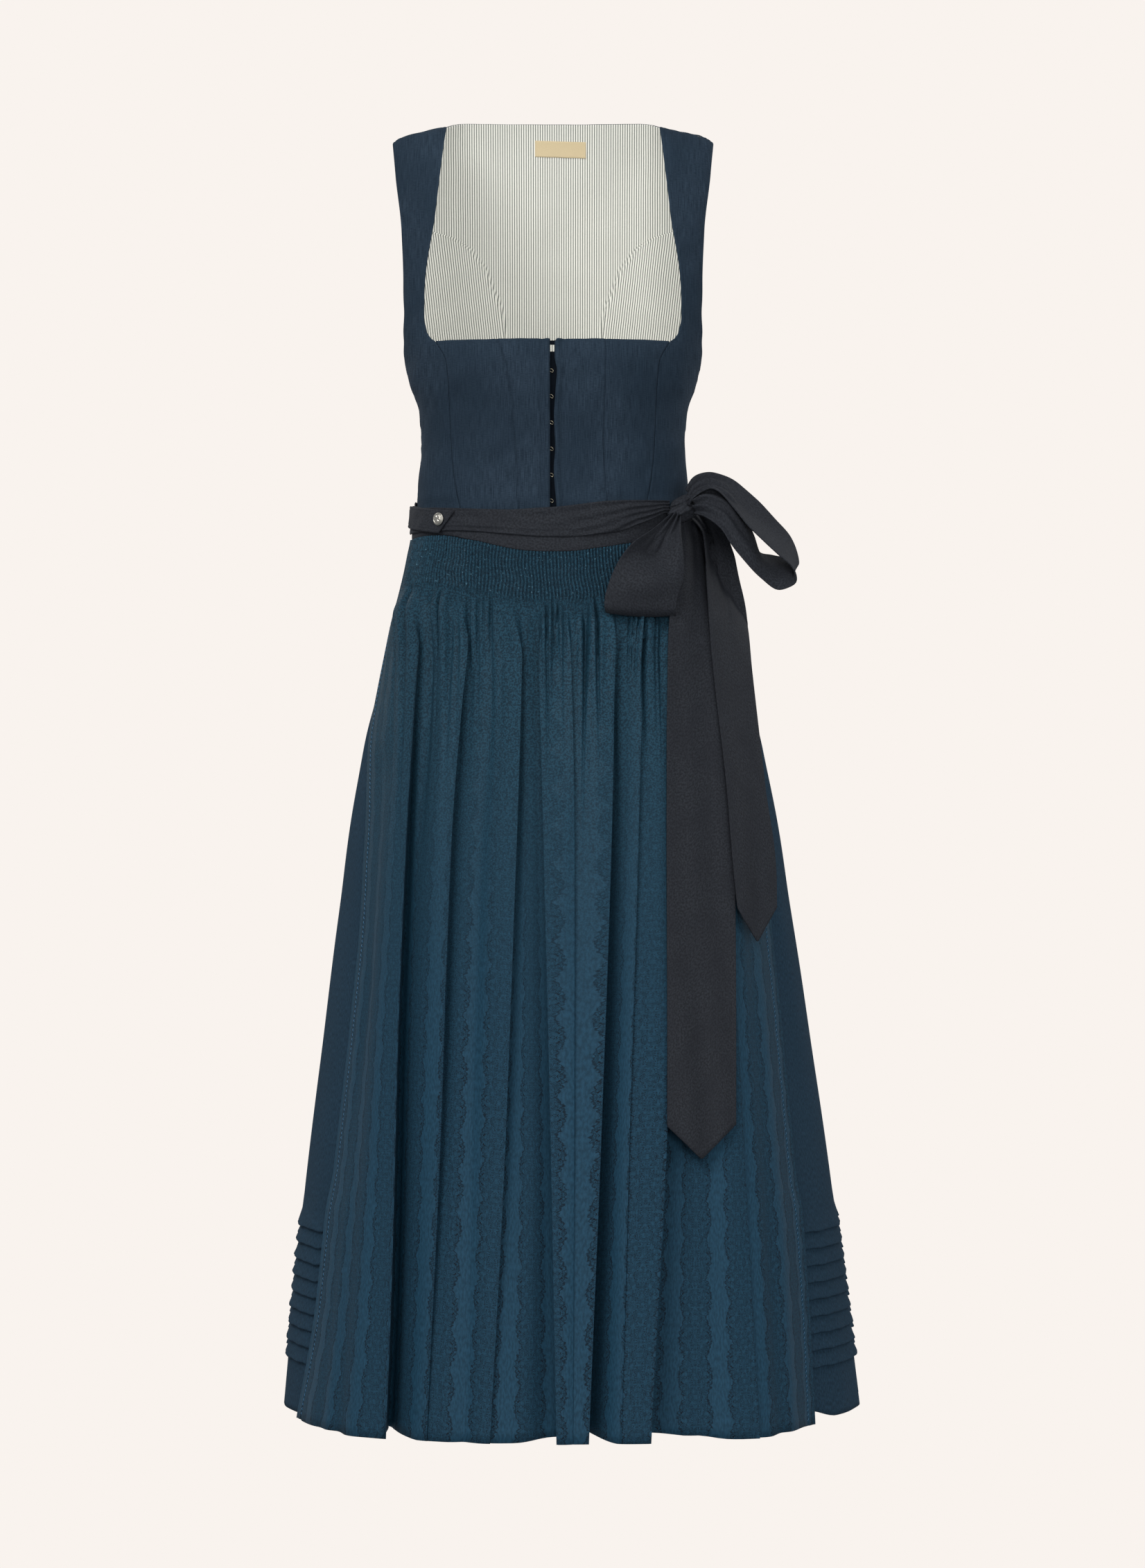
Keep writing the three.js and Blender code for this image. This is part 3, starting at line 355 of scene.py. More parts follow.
def body_surface(angle, v):
    turn = np.radians(angle)
    power = 2 / exponent_at(v)
    sine = np.sign(np.sin(turn)) * np.abs(np.sin(turn)) ** power
    cosine = np.sign(np.cos(turn)) * np.abs(np.cos(turn)) ** power
    x = half_width_at(v) * sine
    is_front = cosine > 0
    nape = NAPE_RISE * (1 - smooth_step(NAPE_FLAT, NAPE_WIDTH, np.abs(x)))
    raised = v + nape * np.clip(1 - v / NAPE_REACH, 0, 1)
    depth = np.sqrt(np.where(is_front, front_squared_at(v), back_squared_at(raised)))
    bust = BUST["fullness"] * bell(np.abs(x) - BUST["x"], BUST["width"]) * bell(v - BUST["v"], BUST["height"])
    lift = np.where(is_front, 0, NAPE_LIFT * nape / NAPE_RISE)
    lowered = (shoulder_drop_at(np.abs(x)) - lift) * np.clip(1 - v / SHOULDER_DROP_REACH, 0, 1)
    y = -(depth * cosine + np.where(is_front, bust, 0))
    return np.stack(np.broadcast_arrays(x + drift_at(v), y, -v - lowered), axis=-1)


def body_x(angle, v):
    return body_surface(angle, v + 0 * angle)[..., 0]


def unit(vectors):
    return vectors / np.linalg.norm(vectors, axis=-1, keepdims=True)


def body_point(angle, v, out):
    """Points of the body moved out: along the normal in the bodice, and level in the skirt."""
    angle, v, out = np.broadcast_arrays(np.asarray(angle, float), np.asarray(v, float), out)
    root = np.sqrt(v)
    step = np.minimum(0.01 * root + 0.002, 0.1)
    around = body_surface(angle + 0.4, v) - body_surface(angle - 0.4, v)
    above = body_surface(angle, (root - np.minimum(step, root * 0.5)) ** 2)
    down = body_surface(angle, (root + step) ** 2) - above
    normal = unit(np.cross(down, around))
    normal[..., 2] *= 1 - smooth_step(400, 500, v)
    return body_surface(angle, v) + unit(normal) * out[..., None]


def angle_at(x, v):
    reach = np.clip((x - drift_at(v)) / half_width_at(v), -1, 1)
    sine = np.abs(reach) ** (exponent_at(v) / 2)
    return np.sign(reach) * np.degrees(np.arcsin(sine))


# ---- Grids, meshes and pieces ---------------------------------------------------------------


def grid_normals(grid):
    return unit(np.cross(np.gradient(grid, axis=0), np.gradient(grid, axis=1)))


def run_lengths(grid, axis=1):
    """How far each point is along its row (axis 1) or its column (axis 0)."""
    lengths = np.linalg.norm(np.diff(grid, axis=axis), axis=-1)
    shape = list(lengths.shape)
    shape[axis] = 1
    return np.concatenate([np.zeros(shape), np.cumsum(lengths, axis=axis)], axis=axis)


def from_sides(grid):
    """How far each point is from the first and from the last point of its row."""
    across = run_lengths(grid)
    return across, across[:, -1:] - across


def cloth_plan(grid):
    """Where each point lies on the flat cloth, in millimetres: across and down."""
    across = run_lengths(grid)
    return np.stack([across - across[:, -1:] / 2, run_lengths(grid, 0)], axis=-1)


def quads(ids):
    return np.stack([ids[:-1, :-1], ids[1:, :-1], ids[1:, 1:], ids[:-1, 1:]], axis=-1).reshape(-1, 4)


def rim(ids):
    return np.concatenate([ids[0, :-1], ids[:-1, -1], ids[-1, :0:-1], ids[:0:-1, 0]])


def numbered(grid):
    return np.arange(grid[..., 0].size).reshape(grid.shape[:2])


def make_mesh(name, points, faces, materials, indices=None, plan=None):
    """indices says which of the materials each face has, and plan where each point is on the cloth."""
    mesh = bpy.data.meshes.new(name)
    mesh.from_pydata((points.reshape(-1, 3) * MM).tolist(), [], faces)
    for material in materials:
        mesh.materials.append(material)
    if indices is not None:
        mesh.polygons.foreach_set("material_index", indices)
    mesh.polygons.foreach_set("use_smooth", np.ones(len(faces), bool))
    if plan is not None:
        layer = mesh.uv_layers.new(name="cloth")
        corners = np.empty(len(mesh.loops), np.int32)
        mesh.loops.foreach_get("vertex_index", corners)
        layer.data.foreach_set("uv", (plan.reshape(-1, 2)[corners] * MM).ravel())
    mesh.update()
    made = bpy.data.objects.new(name, mesh)
    bpy.context.scene.collection.objects.link(made)
    return made


def wall(name, outer, materials, thickness=WALL, inner=None, plan=None, stride=1):
    """A closed wall of cloth: the second material, if there is one, is its inner face.
    stride is how many steps of the outer face the inner one takes at a time."""
    inner = outer - grid_normals(outer) * thickness if inner is None else inner
    plan = cloth_plan(outer) if plan is None else plan
    inner, inner_plan = inner[::stride, ::stride], plan[::stride, ::stride]
    front = numbered(outer)
    back = front.size + numbered(inner)
    first, second = rim(front).tolist(), rim(back).tolist()
    strip = []
    for index, corner in enumerate(second):
        start = index * stride
        outside = [first[(start + step) % len(first)] for step in range(stride + 1)]
        strip.append([*outside, second[(index + 1) % len(second)], corner])
    shown = quads(front).tolist() + strip
    hidden = quads(back)[:, ::-1].tolist()
    indices = np.zeros(len(shown) + len(hidden), np.int32)
    indices[len(shown):] = len(materials) - 1
    points = np.concatenate([outer.reshape(-1, 3), inner.reshape(-1, 3)])
    flat = np.concatenate([plan.reshape(-1, 2), inner_plan.reshape(-1, 2)])
    return make_mesh(name, points, shown + hidden, materials, indices, flat)


def tube(name, path, radius, material, sides=6):
    """A round wire or thread along a path of points."""
    path = np.asarray(path, float)
    along = unit(np.gradient(path, axis=0))
    helper = np.where(np.abs(along[:, 2:]) < 0.9, [[0, 0, 1]], [[1, 0, 0]])
    first = unit(np.cross(along, helper))
    second = np.cross(along, first)
    turns = np.linspace(0, 2 * math.pi, sides, endpoint=False)
    ring = first[:, None] * np.cos(turns)[:, None] + second[:, None] * np.sin(turns)[:, None]
    points = path[:, None] + ring * radius
    ids = numbered(points)
    ids = np.concatenate([ids, ids[:, :1]], axis=1)
    faces = quads(ids).tolist() + [ids[0, :-1].tolist(), ids[-1, :-1][::-1].tolist()]
    return make_mesh(name, points, faces, [material])


def joined(name, objects):
    bpy.ops.object.select_all(action="DESELECT")
    for made in objects:
        made.select_set(True)
    bpy.context.view_layer.objects.active = objects[0]
    bpy.ops.object.join()
    objects[0].name = name
    return objects[0]


PIECES = {}


def take_place(made, node):
    """Puts a finished piece on the part, in the place of one of its solids."""
    PIECES[made.name.split(".")[0]] = made
    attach(made, "root")
    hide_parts(node)


def sew(name, slot, node, outer, materials=None, **more):
    """A wall of cloth in the place of a solid."""
    take_place(wall(name, outer, materials or CLOTHS[slot], **more), node)


# ---- Materials ------------------------------------------------------------------------------


def linear(red, green, blue):
    """A display colour, from 0 to 255, as the linear colour that shaders take."""
    def one(value):
        value /= 255
        return value / 12.92 if value <= 0.04045 else ((value + 0.055) / 1.055) ** 2.4
    return (one(red), one(green), one(blue), 1)


class Value:
    """What a material works out for each point of the cloth."""

    def __init__(self, look, socket):
        self.look = look
        self.socket = socket

    def __add__(self, other):
        return self.look.math("ADD", self, other)

    def __sub__(self, other):
        return self.look.math("SUBTRACT", self, other)

    def __mul__(self, other):
        return self.look.math("MULTIPLY", self, other)

    def __truediv__(self, other):
        return self.look.math("DIVIDE", self, other)

    def __abs__(self):
        return self.look.math("ABSOLUTE", self)


class Look:
    """One material, built up from small steps. u and v are the cloth's own metres."""

    def __init__(self, name, roughness, metallic=0.0, sheen=0.0, sheen_tint=(1, 1, 1, 1), specular=0.5):
        self.material = bpy.data.materials.new(name)
        self.material.use_nodes = True
        self.tree = self.material.node_tree
        self.shader = self.tree.nodes["Principled BSDF"]
        settings = {
            "Roughness": roughness,
            "Metallic": metallic,
            "Specular IOR Level": specular,
            "Sheen Weight": sheen,
            "Sheen Roughness": 0.45,
            "Sheen Tint": sheen_tint,
        }
        for key, value in settings.items():
            self.feed(key, value)
        place = self.get("ShaderNodeUVMap", 0, uv_map="cloth")
        self.u = self.get("ShaderNodeSeparateXYZ", 0, {0: place})
        self.v = self.get("ShaderNodeSeparateXYZ", 1, {0: place})

    def plug(self, socket, value):
        if isinstance(value, Value):
            self.tree.links.new(value.socket, socket)
        else:
            socket.default_value = value

    def feed(self, key, value):
        self.plug(self.shader.inputs[key], value)

    def get(self, kind, output, inputs=None, **settings):
        """Adds a node and gives one of its outputs."""
        made = self.tree.nodes.new(kind)
        for key, value in settings.items():
            setattr(made, key, value)
        for key, value in (inputs or {}).items():
            self.plug(made.inputs[key], value)
        return Value(self, made.outputs[output])

    def math(self, operation, *values):
        return self.get("ShaderNodeMath", 0, dict(enumerate(values)), operation=operation)

    def ramp(self, value, low, high, start=0.0, end=1.0):
        inputs = {"Value": value, "From Min": low, "From Max": high, "To Min": start, "To Max": end}
        return self.get("ShaderNodeMapRange", 0, inputs, interpolation_type="SMOOTHSTEP")

    def blend(self, factor, a, b):
        """A mix of two colours: 6, 7 and the output 2 are the node's colour sockets."""
        return self.get("ShaderNodeMix", 2, {0: factor, 6: a, 7: b}, data_type="RGBA")

    def noise(self, x, y, scale=1.0, detail=2.0, distortion=0.0):
        place = self.get("ShaderNodeCombineXYZ", 0, {0: x, 1: y})
        inputs = {"Vector": place, "Scale": scale, "Detail": detail, "Distortion": distortion}
        return self.get("ShaderNodeTexNoise", 0, inputs)

    def grain(self, across, down, detail):
        """Noise with so many flecks for each metre across and down."""
        return self.noise(self.u * across, self.v * down, detail=detail)

    def wave(self, value, period):
        return self.math("SINE", value * (2 * math.pi / period))

    def weave(self, pitch):
        """Plain weave: threads of one direction lie over and under those of the other."""
        return self.wave(self.u, pitch) * self.wave(self.v, pitch)

    def finish(self, color, height=None, distance=0.0, strength=1.0):
        self.feed("Base Color", color)
        if height is not None:
            inputs = {"Height": height, "Distance": distance, "Strength": strength}
            self.feed("Normal", self.get("ShaderNodeBump", 0, inputs))
        return self.material


MATT = {"roughness": 0.9, "sheen": 0.03, "sheen_tint": linear(90, 125, 160), "specular": 0.12}


def linen_look():
    look = Look("bodice twill", **MATT)
    upright, level, broad = look.grain(1500, 60, 3), look.grain(260, 1500, 3), look.grain(14, 9, 2)
    streaks = upright * 0.6 + level * 0.4
    base = look.blend(look.ramp(streaks, 0.3, 0.7), linear(29, 41, 53), linear(56, 71, 86))
    color = look.blend(look.ramp(broad, 0.35, 0.65, 0.0, 0.6), base, linear(33, 47, 60))
    twill = look.wave(look.u + look.v, 0.0011)
    return look.finish(color, streaks * 0.8 + twill * 0.3, 0.00022, 0.55)


def skirt_look():
    look = Look("skirt cotton", **MATT)
    flecks, broad = look.grain(700, 260, 4), look.grain(11, 7, 2)
    base = look.blend(look.ramp(flecks, 0.35, 0.65), linear(29, 50, 65), linear(41, 67, 86))
    color = look.blend(look.ramp(broad, 0.35, 0.7, 0.0, 0.25), base, linear(30, 52, 67))
    return look.finish(color, look.weave(0.0009) + flecks, 0.0002, 0.4)


def apron_look():
    """Columns of scrolled medallions, darker than the plain stripes between them."""
    look = Look("apron brocade", roughness=0.6, sheen=0.02, sheen_tint=linear(90, 140, 170), specular=0.16)
    column_pitch, medallion, shift, lobe = 0.049, 0.0355, 0.0139, 0.0047
    place = (look.u + 0.006) / column_pitch
    side = abs((look.math("FRACT", place) - 0.5) * column_pitch)
    shifted = (look.v + look.math("FLOOR", place) * shift) / medallion
    height = abs((look.math("FRACT", shifted) - 0.5) * medallion)
    # the medallion's outline: round, drawn in between two of them, with small lobes
    swell = look.math("COSINE", height * (2 * math.pi / medallion))
    swell = look.math("POWER", swell * 0.5 + 0.5, 0.55)
    lobes = abs(look.math("COSINE", height * (math.pi / lobe)))
    ragged = look.noise(look.u, look.v, scale=420, detail=3)
    inside_by = swell * 0.0052 + lobes * 0.0014 + 0.0112 - side + (ragged * 0.007 - 0.0035)
    inside = look.ramp(inside_by, -0.0004, 0.0006)
    # scrolls: noise that is mirrored in the column's and the medallion's middle lines
    scroll = look.noise(side * 120, height * 120, detail=0.5, distortion=2.4)
    curls = look.noise(look.u, look.v, scale=190, detail=0.5, distortion=1.5)
    drawn = look.ramp(abs(look.math("SINE", scroll * 19)), 0.18, 0.5, 1.0, 0.0)
    drawn = look.math("MAXIMUM", drawn, look.ramp(abs(look.math("SINE", curls * 17)), 0.1, 0.4, 0.5, 0.0))
    outline = look.ramp(abs(inside_by - 0.0009), 0.0003, 0.0010, 0.8, 0.0)
    drawn = look.math("MAXIMUM", drawn, outline) * inside
    ground = look.blend(look.ramp(look.grain(600, 200, 3), 0.3, 0.7), linear(25, 58, 77), linear(36, 75, 98))
    worked = look.blend(inside * 0.15, ground, linear(36, 62, 76))
    # the cloth is gathered at the top, where the ornament shows only as a fine grain
    spot = look.get("ShaderNodeTexCoord", "Object")
    grain = look.get("ShaderNodeTexNoise", 0, {"Vector": spot, "Scale": 620, "Detail": 3})
    shown = look.ramp(look.v, 0.02, 0.5)
    plain_top = look.blend(look.ramp(grain, 0.38, 0.62), linear(25, 47, 60), linear(39, 75, 93))
    worked = look.blend(shown, plain_top, worked)
    worked = look.blend(drawn * shown, worked, linear(14, 27, 38))
    # the smocking: painted shade in the valleys between its pleats, with specks of thread
    # painted shade: near black where the pleats' valleys lie
    between = look.ramp(look.math("COSINE", look.u * (2 * math.pi / (PLEAT_WIDTH * MM))), -0.1, 0.9)
    between = between * look.ramp(look.v, -0.001, 0.005, 0.52, 0.0)
    worked = look.blend(between, worked, linear(12, 24, 35))
    speck = look.ramp(look.grain(420, 420, 1), 0.68, 0.73) * look.ramp(look.v, -0.001, 0.004, 0.6, 0.0)
    look.feed("Roughness", look.ramp(inside, 0.0, 1.0, 0.55, 0.7))
    color = look.blend(speck, worked, linear(92, 132, 152))
    return look.finish(color, look.weave(0.0008) + drawn * -1.2, 0.00015, 0.5)


def tie_look():
    look = Look("tie sateen", roughness=0.74, sheen=0.05, sheen_tint=linear(120, 124, 134), specular=0.16)
    flecks, broad = look.grain(500, 500, 4), look.grain(30, 30, 2)
    base = look.blend(look.ramp(flecks, 0.35, 0.65), linear(36, 38, 43), linear(51, 54, 60))
    color = look.blend(look.ramp(broad, 0.35, 0.7, 0.0, 0.4), base, linear(37, 39, 45))
    return look.finish(color, look.weave(0.0007) + flecks, 0.00015, 0.45)


def lining_look():
    look = Look("striped lining", roughness=0.88, sheen=0.05, specular=0.2)
    dark = look.ramp(abs(look.math("FRACT", look.u / 0.0023) - 0.5), 0.12, 0.24, 1.0, 0.0)
    worn = look.grain(300, 900, 3)
    ground = look.blend(worn, linear(232, 231, 220), linear(243, 241, 232))
    ink = look.blend(worn, linear(92, 96, 92), linear(126, 130, 124))
    return look.finish(look.blend(dark, ground, ink), look.weave(0.0006) + worn, 0.00012, 0.4)


def label_look():
    look = Look("label tape", roughness=0.8, sheen=0.05)
    worn = look.grain(900, 900, 3)
    color = look.blend(worn, linear(208, 188, 148), linear(224, 205, 166))
    return look.finish(color, look.weave(0.0007) + worn, 0.00015, 0.6)


def plain_look(name, color, roughness, metallic=0.0, **more):
    return Look(name, roughness, metallic, **more).finish(color)


LINING = lining_look()
TIE = [tie_look()]
CLOTHS = {
    "bodice_cloth": [linen_look(), LINING],
    "lining_cloth": [LINING],
    "label_cloth": [label_look()],
    "skirt_cloth": [skirt_look()],
    "apron_cloth": [apron_look()],
    "tie_cloth": TIE,
}
# underlap cloth coloured near black: painted shade inside the slit
SLIT_PAINTED_SHADE = plain_look("underlap painted shade", linear(16, 21, 28), 0.95, specular=0.05)
SILVER = plain_look("old silver", linear(190, 186, 176), 0.33, 1.0)
HOOK_METAL = plain_look("hook wire", linear(176, 168, 146), 0.28, 1.0)
BLUE_THREAD = plain_look("blue thread", linear(58, 112, 150), 0.6, sheen=0.1)


# ---- Bodice ---------------------------------------------------------------------------------

princess_at = {-1: curve(PRINCESS_SEAM_LEFT), 1: curve(PRINCESS_SEAM_RIGHT)}
slit_at = {-1: lambda v: SLIT_LEFT_X + 0 * v, 1: curve(SLIT_RIGHT_WAVE)}
side_front_at = curve(SIDE_FRONT_SEAM)
strap_inner_at = curve(STRAP_INNER_EDGE)
back_seam_at = curve(BACK_SEAM)
armhole_at = curve(ARMHOLE)

FRONT_ROWS = np.concatenate([[NECK_DEPTH, 215.6, 216.6, 217.6, 218.4, 219.2], even(220.4, WAIST_SEAM, 78)])
STRAP_ROWS = np.concatenate([[TOP, 0.3, 1, 2, 4, 7, 11, 16], even(22, 206, 58), even(208, WAIST_SEAM, 88)])
BELOW_ARMHOLE = even(122, WAIST_SEAM, 74)
NAPE_ROWS = np.concatenate([[TOP, 0.4, 1.2, 2.4, 4, 6, 9], even(12, 84, 30)])
BACK_ROWS = np.concatenate([NAPE_ROWS, even(88, 120, 26), BELOW_ARMHOLE])
BACK_SIDE_ROWS = np.concatenate([even(84.6, 120, 28), BELOW_ARMHOLE])


def seam_angle(v):
    return np.degrees(0.5 * SEAM / (0.8 * half_width_at(v)))


def ordered(side, inner, outer):
    """What lies at a panel's left and at its right."""
    return (outer, inner) if side < 0 else (inner, outer)


def panel_base(rows, shares, edges_at, outside=0.0):
    v = rows[:, None]
    left, right = edges_at(v)
    angle = mix(left, right, shares[None, :])
    return angle, np.broadcast_to(v, angle.shape), body_point(angle, v, outside)


def bodice_panel(name, rows, count, edges_at, kinds, seed, top_edge=False):
    """A panel of the bodice. kinds says what its left and right edges are: seam, slit or edge."""
    angle, v, base = panel_base(rows, edge_dense(count), edges_at)
    x = base[..., 0]
    distances = from_sides(base)
    out = 0.7 * ripple(x, v, seed, 46) + 0.3 * ripple(x, v * 0.6, seed + 9, 15)
    out *= smooth_step(0, 10, distances[0]) * smooth_step(0, 10, distances[1])
    out += 0.5 * smooth_step(330, 380, v) * ripple(x * 0.25, v, seed + 3, 14)
    for kind, distance in zip(kinds, distances):
        if kind == "seam":
            out -= 1.0 * bell(distance, 1.1)
            out += 0.3 * bell(distance - 3.0, 1.5) * (1 + ripple(x, v, seed + 5, 9))
        if kind == "slit":
            out += 1.9 * bell(distance - 2.4, 2.2) - 0.7 * bell(distance, 0.8)
            out -= 1.1 * bell(distance - 7.8, 1.7)
            out += 0.35 * ripple(x * 0.2, v, seed + 7, 19) * bell(distance, 6)
        if kind == "edge":
            out -= 0.45 * bell(distance, 0.9) + 0.3 * bell(distance - 3.4, 0.6)
    if top_edge:
        below = v - v[:1]
        out -= 0.5 * bell(below, 0.9) + 0.3 * bell(below - 3.4, 0.6)
    plan = np.stack([x, v], axis=-1)
    sew(name, "bodice_cloth", f"bodice_{name}", body_point(angle, v, out), plan=plan)


def build_front(side):
    word = WORDS[side]

    def princess(v, beyond):
        return angle_at(princess_at[side](v), v) + beyond * side * seam_angle(v)

    def centre(v):
        return ordered(side, angle_at(slit_at[side](v), v), princess(v, -1))

    def middle(v):
        return ordered(side, princess(v, 1), side * (angle_at(side_front_at(v), v) - seam_angle(v)))

    def strap(v):
        x = np.where(v < NECK_DEPTH, strap_inner_at(v), side_front_at(v))
        outer = np.where(v < ARMHOLE_DEPTH, armhole_at(v), 90 - seam_angle(v))
        return ordered(side, side * (angle_at(x, v) + seam_angle(v)), side * outer)

    kinds = ordered(side, "slit", "seam")
    bodice_panel(f"front_centre_{word}", FRONT_ROWS, 46, centre, kinds, 11 + side, top_edge=True)
    bodice_panel(f"front_middle_{word}", FRONT_ROWS, 46, middle, ("seam", "seam"), 21 + side, top_edge=True)
    bodice_panel(f"front_side_{word}", STRAP_ROWS, 44, strap, ("edge", "edge"), 31 + side)


def back_reach(v):
    return np.minimum(armhole_at(v), angle_at(back_seam_at(v), v) - seam_angle(v))


def back_centre_angles(v):
    return 180 - back_reach(v), 180 + back_reach(v)


def back_side_angles(side):
    def angles(v):
        reach = np.where(v < ARMHOLE_DEPTH, armhole_at(v), 90 - seam_angle(v))
        inner = 180 - side * np.minimum(angle_at(back_seam_at(v), v) + seam_angle(v), reach - 0.03)
        return ordered(-side, inner, 180 - side * reach)
    return angles


def lining_panel(part, rows, edges_at, seed, slant=0.0):
    """slant is by how much the stripes lean."""
    outside = -WALL - LINING_GAP
    angle, v, base = panel_base(rows, edge_dense(60), edges_at, outside)
    x = base[..., 0]
    out = outside + 0.25 * ripple(x, v, seed, 50)
    for distance in from_sides(base):
        out += 0.5 * bell(distance, 1.2)
        out -= 0.35 * bell(distance - 2.2, 1.2) * (1 + 0.6 * ripple(x, v, seed + 5, 8))
    grid = body_point(angle, v, np.minimum(out, outside + 0.3))
    plan = np.stack([x + slant * (v - 90), v], axis=-1)
    sew(f"lining_{part}", "lining_cloth", f"lining_back_{part}", grid, thickness=LINING_WALL, plan=plan)


def build_bodice():
    for side in (-1, 1):
        build_front(side)
        part, angles = f"side_{WORDS[side]}", back_side_angles(side)
        bodice_panel(f"back_{part}", BACK_SIDE_ROWS, 60, angles, ("seam", "seam"), 41 + side)
        lining_panel(part, BACK_SIDE_ROWS, angles, 51 + side, side * 0.11)
    bodice_panel("back_centre", BACK_ROWS, 60, back_centre_angles, ("seam", "seam"), 61)
    lining_panel("centre", BACK_ROWS, back_centre_angles, 71)


def build_label():
    def ends(v):
        return [180 + back_reach(v) * share for share in LABEL_SHARES]

    outside = -WALL - LINING_GAP - LINING_WALL - SEAM
    angle, v, base = panel_base(even(LABEL_TOP, LABEL_BOTTOM, 14), even(0, 1, 40), ends, outside)
    v = v + 0.03 * base[..., 0]
    waves = 0.5 + 0.5 * np.cos(run_lengths(base) / 48 * 2 * math.pi * 2.5)
    curl = 0.5 * smooth_step(20, LABEL_BOTTOM, v) * waves
    grid = body_point(angle, v, outside - curl)
    sew("neck_label", "label_cloth", "neck_label", grid, thickness=LABEL_WALL)


def build_closure():
    """The strip behind the slit, a bar across its top, and six bent hooks."""
    def strip_edges(v):
        return angle_at(-PLACKET_X, v), angle_at(PLACKET_X, v)

    def bar_edges(v):
        return angle_at(-6, v), angle_at(7, v)

    angle, v, base = panel_base(even(227, WAIST_SEAM, 60), even(0, 1, 20), strip_edges, -PLACKET_DEPTH)
    grid = body_point(angle, v, -PLACKET_DEPTH + 0.3 * ripple(base[..., 0], v, 5, 14))
    # the strip and the bar take the near-black underlap colour, which paints the shade inside the slit
    sew("closure_strip", "bodice_cloth", "closure_placket", grid, [SLIT_PAINTED_SHADE], thickness=1.0)
    grid = panel_base(even(216.2, 220.2, 8), even(0, 1, 12), bar_edges, -WALL - 1.0)[2]
    sew("closure_bar", "bodice_cloth", "closure_placket", grid, [SLIT_PAINTED_SHADE], thickness=0.8)
    turns = even(-0.6 * math.pi, 0.6 * math.pi, 14)
    x = np.concatenate([[-5.2, -3.0], -0.9 + 1.5 * np.cos(turns), [-3.0, -5.2]])
    drop = np.concatenate([[-0.5, -0.9], 1.5 * np.sin(turns), [0.9, 1.4]])
    outside = -WALL - 0.75 + 0.5 * np.sin(np.linspace(0, math.pi, len(x)))
    for index in range(HOOKS):
        depth = FIRST_HOOK + HOOK_PITCH * index + drop + 0.35 * (x + 1)
        path = body_point(angle_at(x, depth), depth, outside)
        name = f"hook_{index + 1}"
        take_place(tube(name, path, HOOK_WIRE, HOOK_METAL), name)


# ---- Skirt ----------------------------------------------------------------------------------


def tuck_profile():
    """Rows of the skirt down to the hem: the depth and how far the tucks lift the cloth."""
    rows = [(v, 0.0) for v in np.concatenate([[WAIST_SEAM + SEAM], even(394, 1030, 84)])]
    for index in range(TUCKS):
        edge = FIRST_TUCK + index * TUCK_PITCH
        start = edge - TUCK_PITCH + (1.4 if index else 0)
        rows += [(mix(start, edge - 2, t), mix(0.3, 3.0, t ** 1.3)) for t in (0.05, 0.25, 0.5, 0.75, 1.0)]
        rows += [(edge + down, lift) for down, lift in TUCK_EDGE]
    rows += [(v, 0.0) for v in even(edge + 1.4, SKIRT_HEM, 10)]
    return np.array(rows)


def back_fold(angle, v):
    share = (angle - 90) / 180
    phase = 2 * math.pi * BACK_FOLDS * share
    fade = smooth_step(0, 0.09, share) * smooth_step(0, 0.09, 1 - share)
    growth = 1.2 * smooth_step(402, 425, v) + 9 * smooth_step(410, HEM, v)
    uneven = 1 + 0.25 * np.sin(2.3 * phase / BACK_FOLDS + 0.7)
    gathered = np.sin(phase * 4 + 2 * ripple(share * 9, v * 0 + 3, 4, 2.2))
    gathered *= smooth_step(390, 400, v) * (1 - smooth_step(430, 640, v))
    small = ripple(share * 60, v * 0.012, 8, 5) * 1.3 * smooth_step(430, 620, v)
    return fade * (growth * uneven * np.cos(phase + 0.35 * np.sin(phase * 0.31)) + gathered + small)


def front_fold(angle, v):
    at_seam = smooth_step(0, 9, 90 - np.abs(angle))
    return 0.8 * ripple(angle * 0.9, v * 0.05, 14, 14) * smooth_step(420, 600, v) * at_seam


def skirt_panel(name, angles, fold):
    profile = tuck_profile()
    base_v, lift = profile[:, 0][:, None], profile[:, 1][:, None]
    angle = angles[None, :]
    in_tucks = smooth_step(1040, 1052, base_v) * (1 - smooth_step(1192, 1210, base_v))
    # the hem is a little higher where the apron hides it
    raised = 9 * smooth_step(1185, SKIRT_HEM, base_v) * smooth_step(0, 12, 64 - np.abs(angle))
    v = base_v + 0.7 * ripple(angle * 1.1, base_v * 0.02, 17, 9) * in_tucks - raised
    out = fold(angle, v) + lift * (1 + 0.14 * ripple(angle, base_v * 0.3, 19, 7))
    plan = np.stack(np.broadcast_arrays(angle * 4.4, base_v), axis=-1)
    inner = body_point(angle, base_v - raised, fold(angle, base_v) - WALL)
    sew(name, "skirt_cloth", name, body_point(angle, v, out), inner=inner, plan=plan)


def build_skirt():
    overlap = 0.01
    skirt_panel("skirt_front", even(-90 - overlap, 90 + overlap, 120), front_fold)
    skirt_panel("skirt_back", even(90 - overlap, 270 + overlap, 260), back_fold)


# ---- Apron ----------------------------------------------------------------------------------

band_top_at = curve(BAND_TOP)
band_bottom_at = curve(BAND_BOTTOM)
apron_left_at = curve(APRON_EDGES, 1)
apron_right_at = curve(APRON_EDGES, 2)
crest_at = curve(APRON_CREST)
rest_at = curve(APRON_REST)
FOLDS = len(APRON_FOLDS)


def fold_value(fold, columns, v):
    heights = (FOLD_TOP, FOLD_MIDDLE, HEM)
    return curve([(height, fold[column]) for height, column in zip(heights, columns)])(v)


def apron_anchors(v):
    """The angles of the apron's left edge, of its valleys and of its right edge."""
    low = np.maximum(v, FOLD_TOP)
    valleys = [angle_at(fold_value(fold, (0, 1, 2), v), low) for fold in APRON_FOLDS]
    return np.stack([apron_left_at(v), *valleys, apron_right_at(v)])


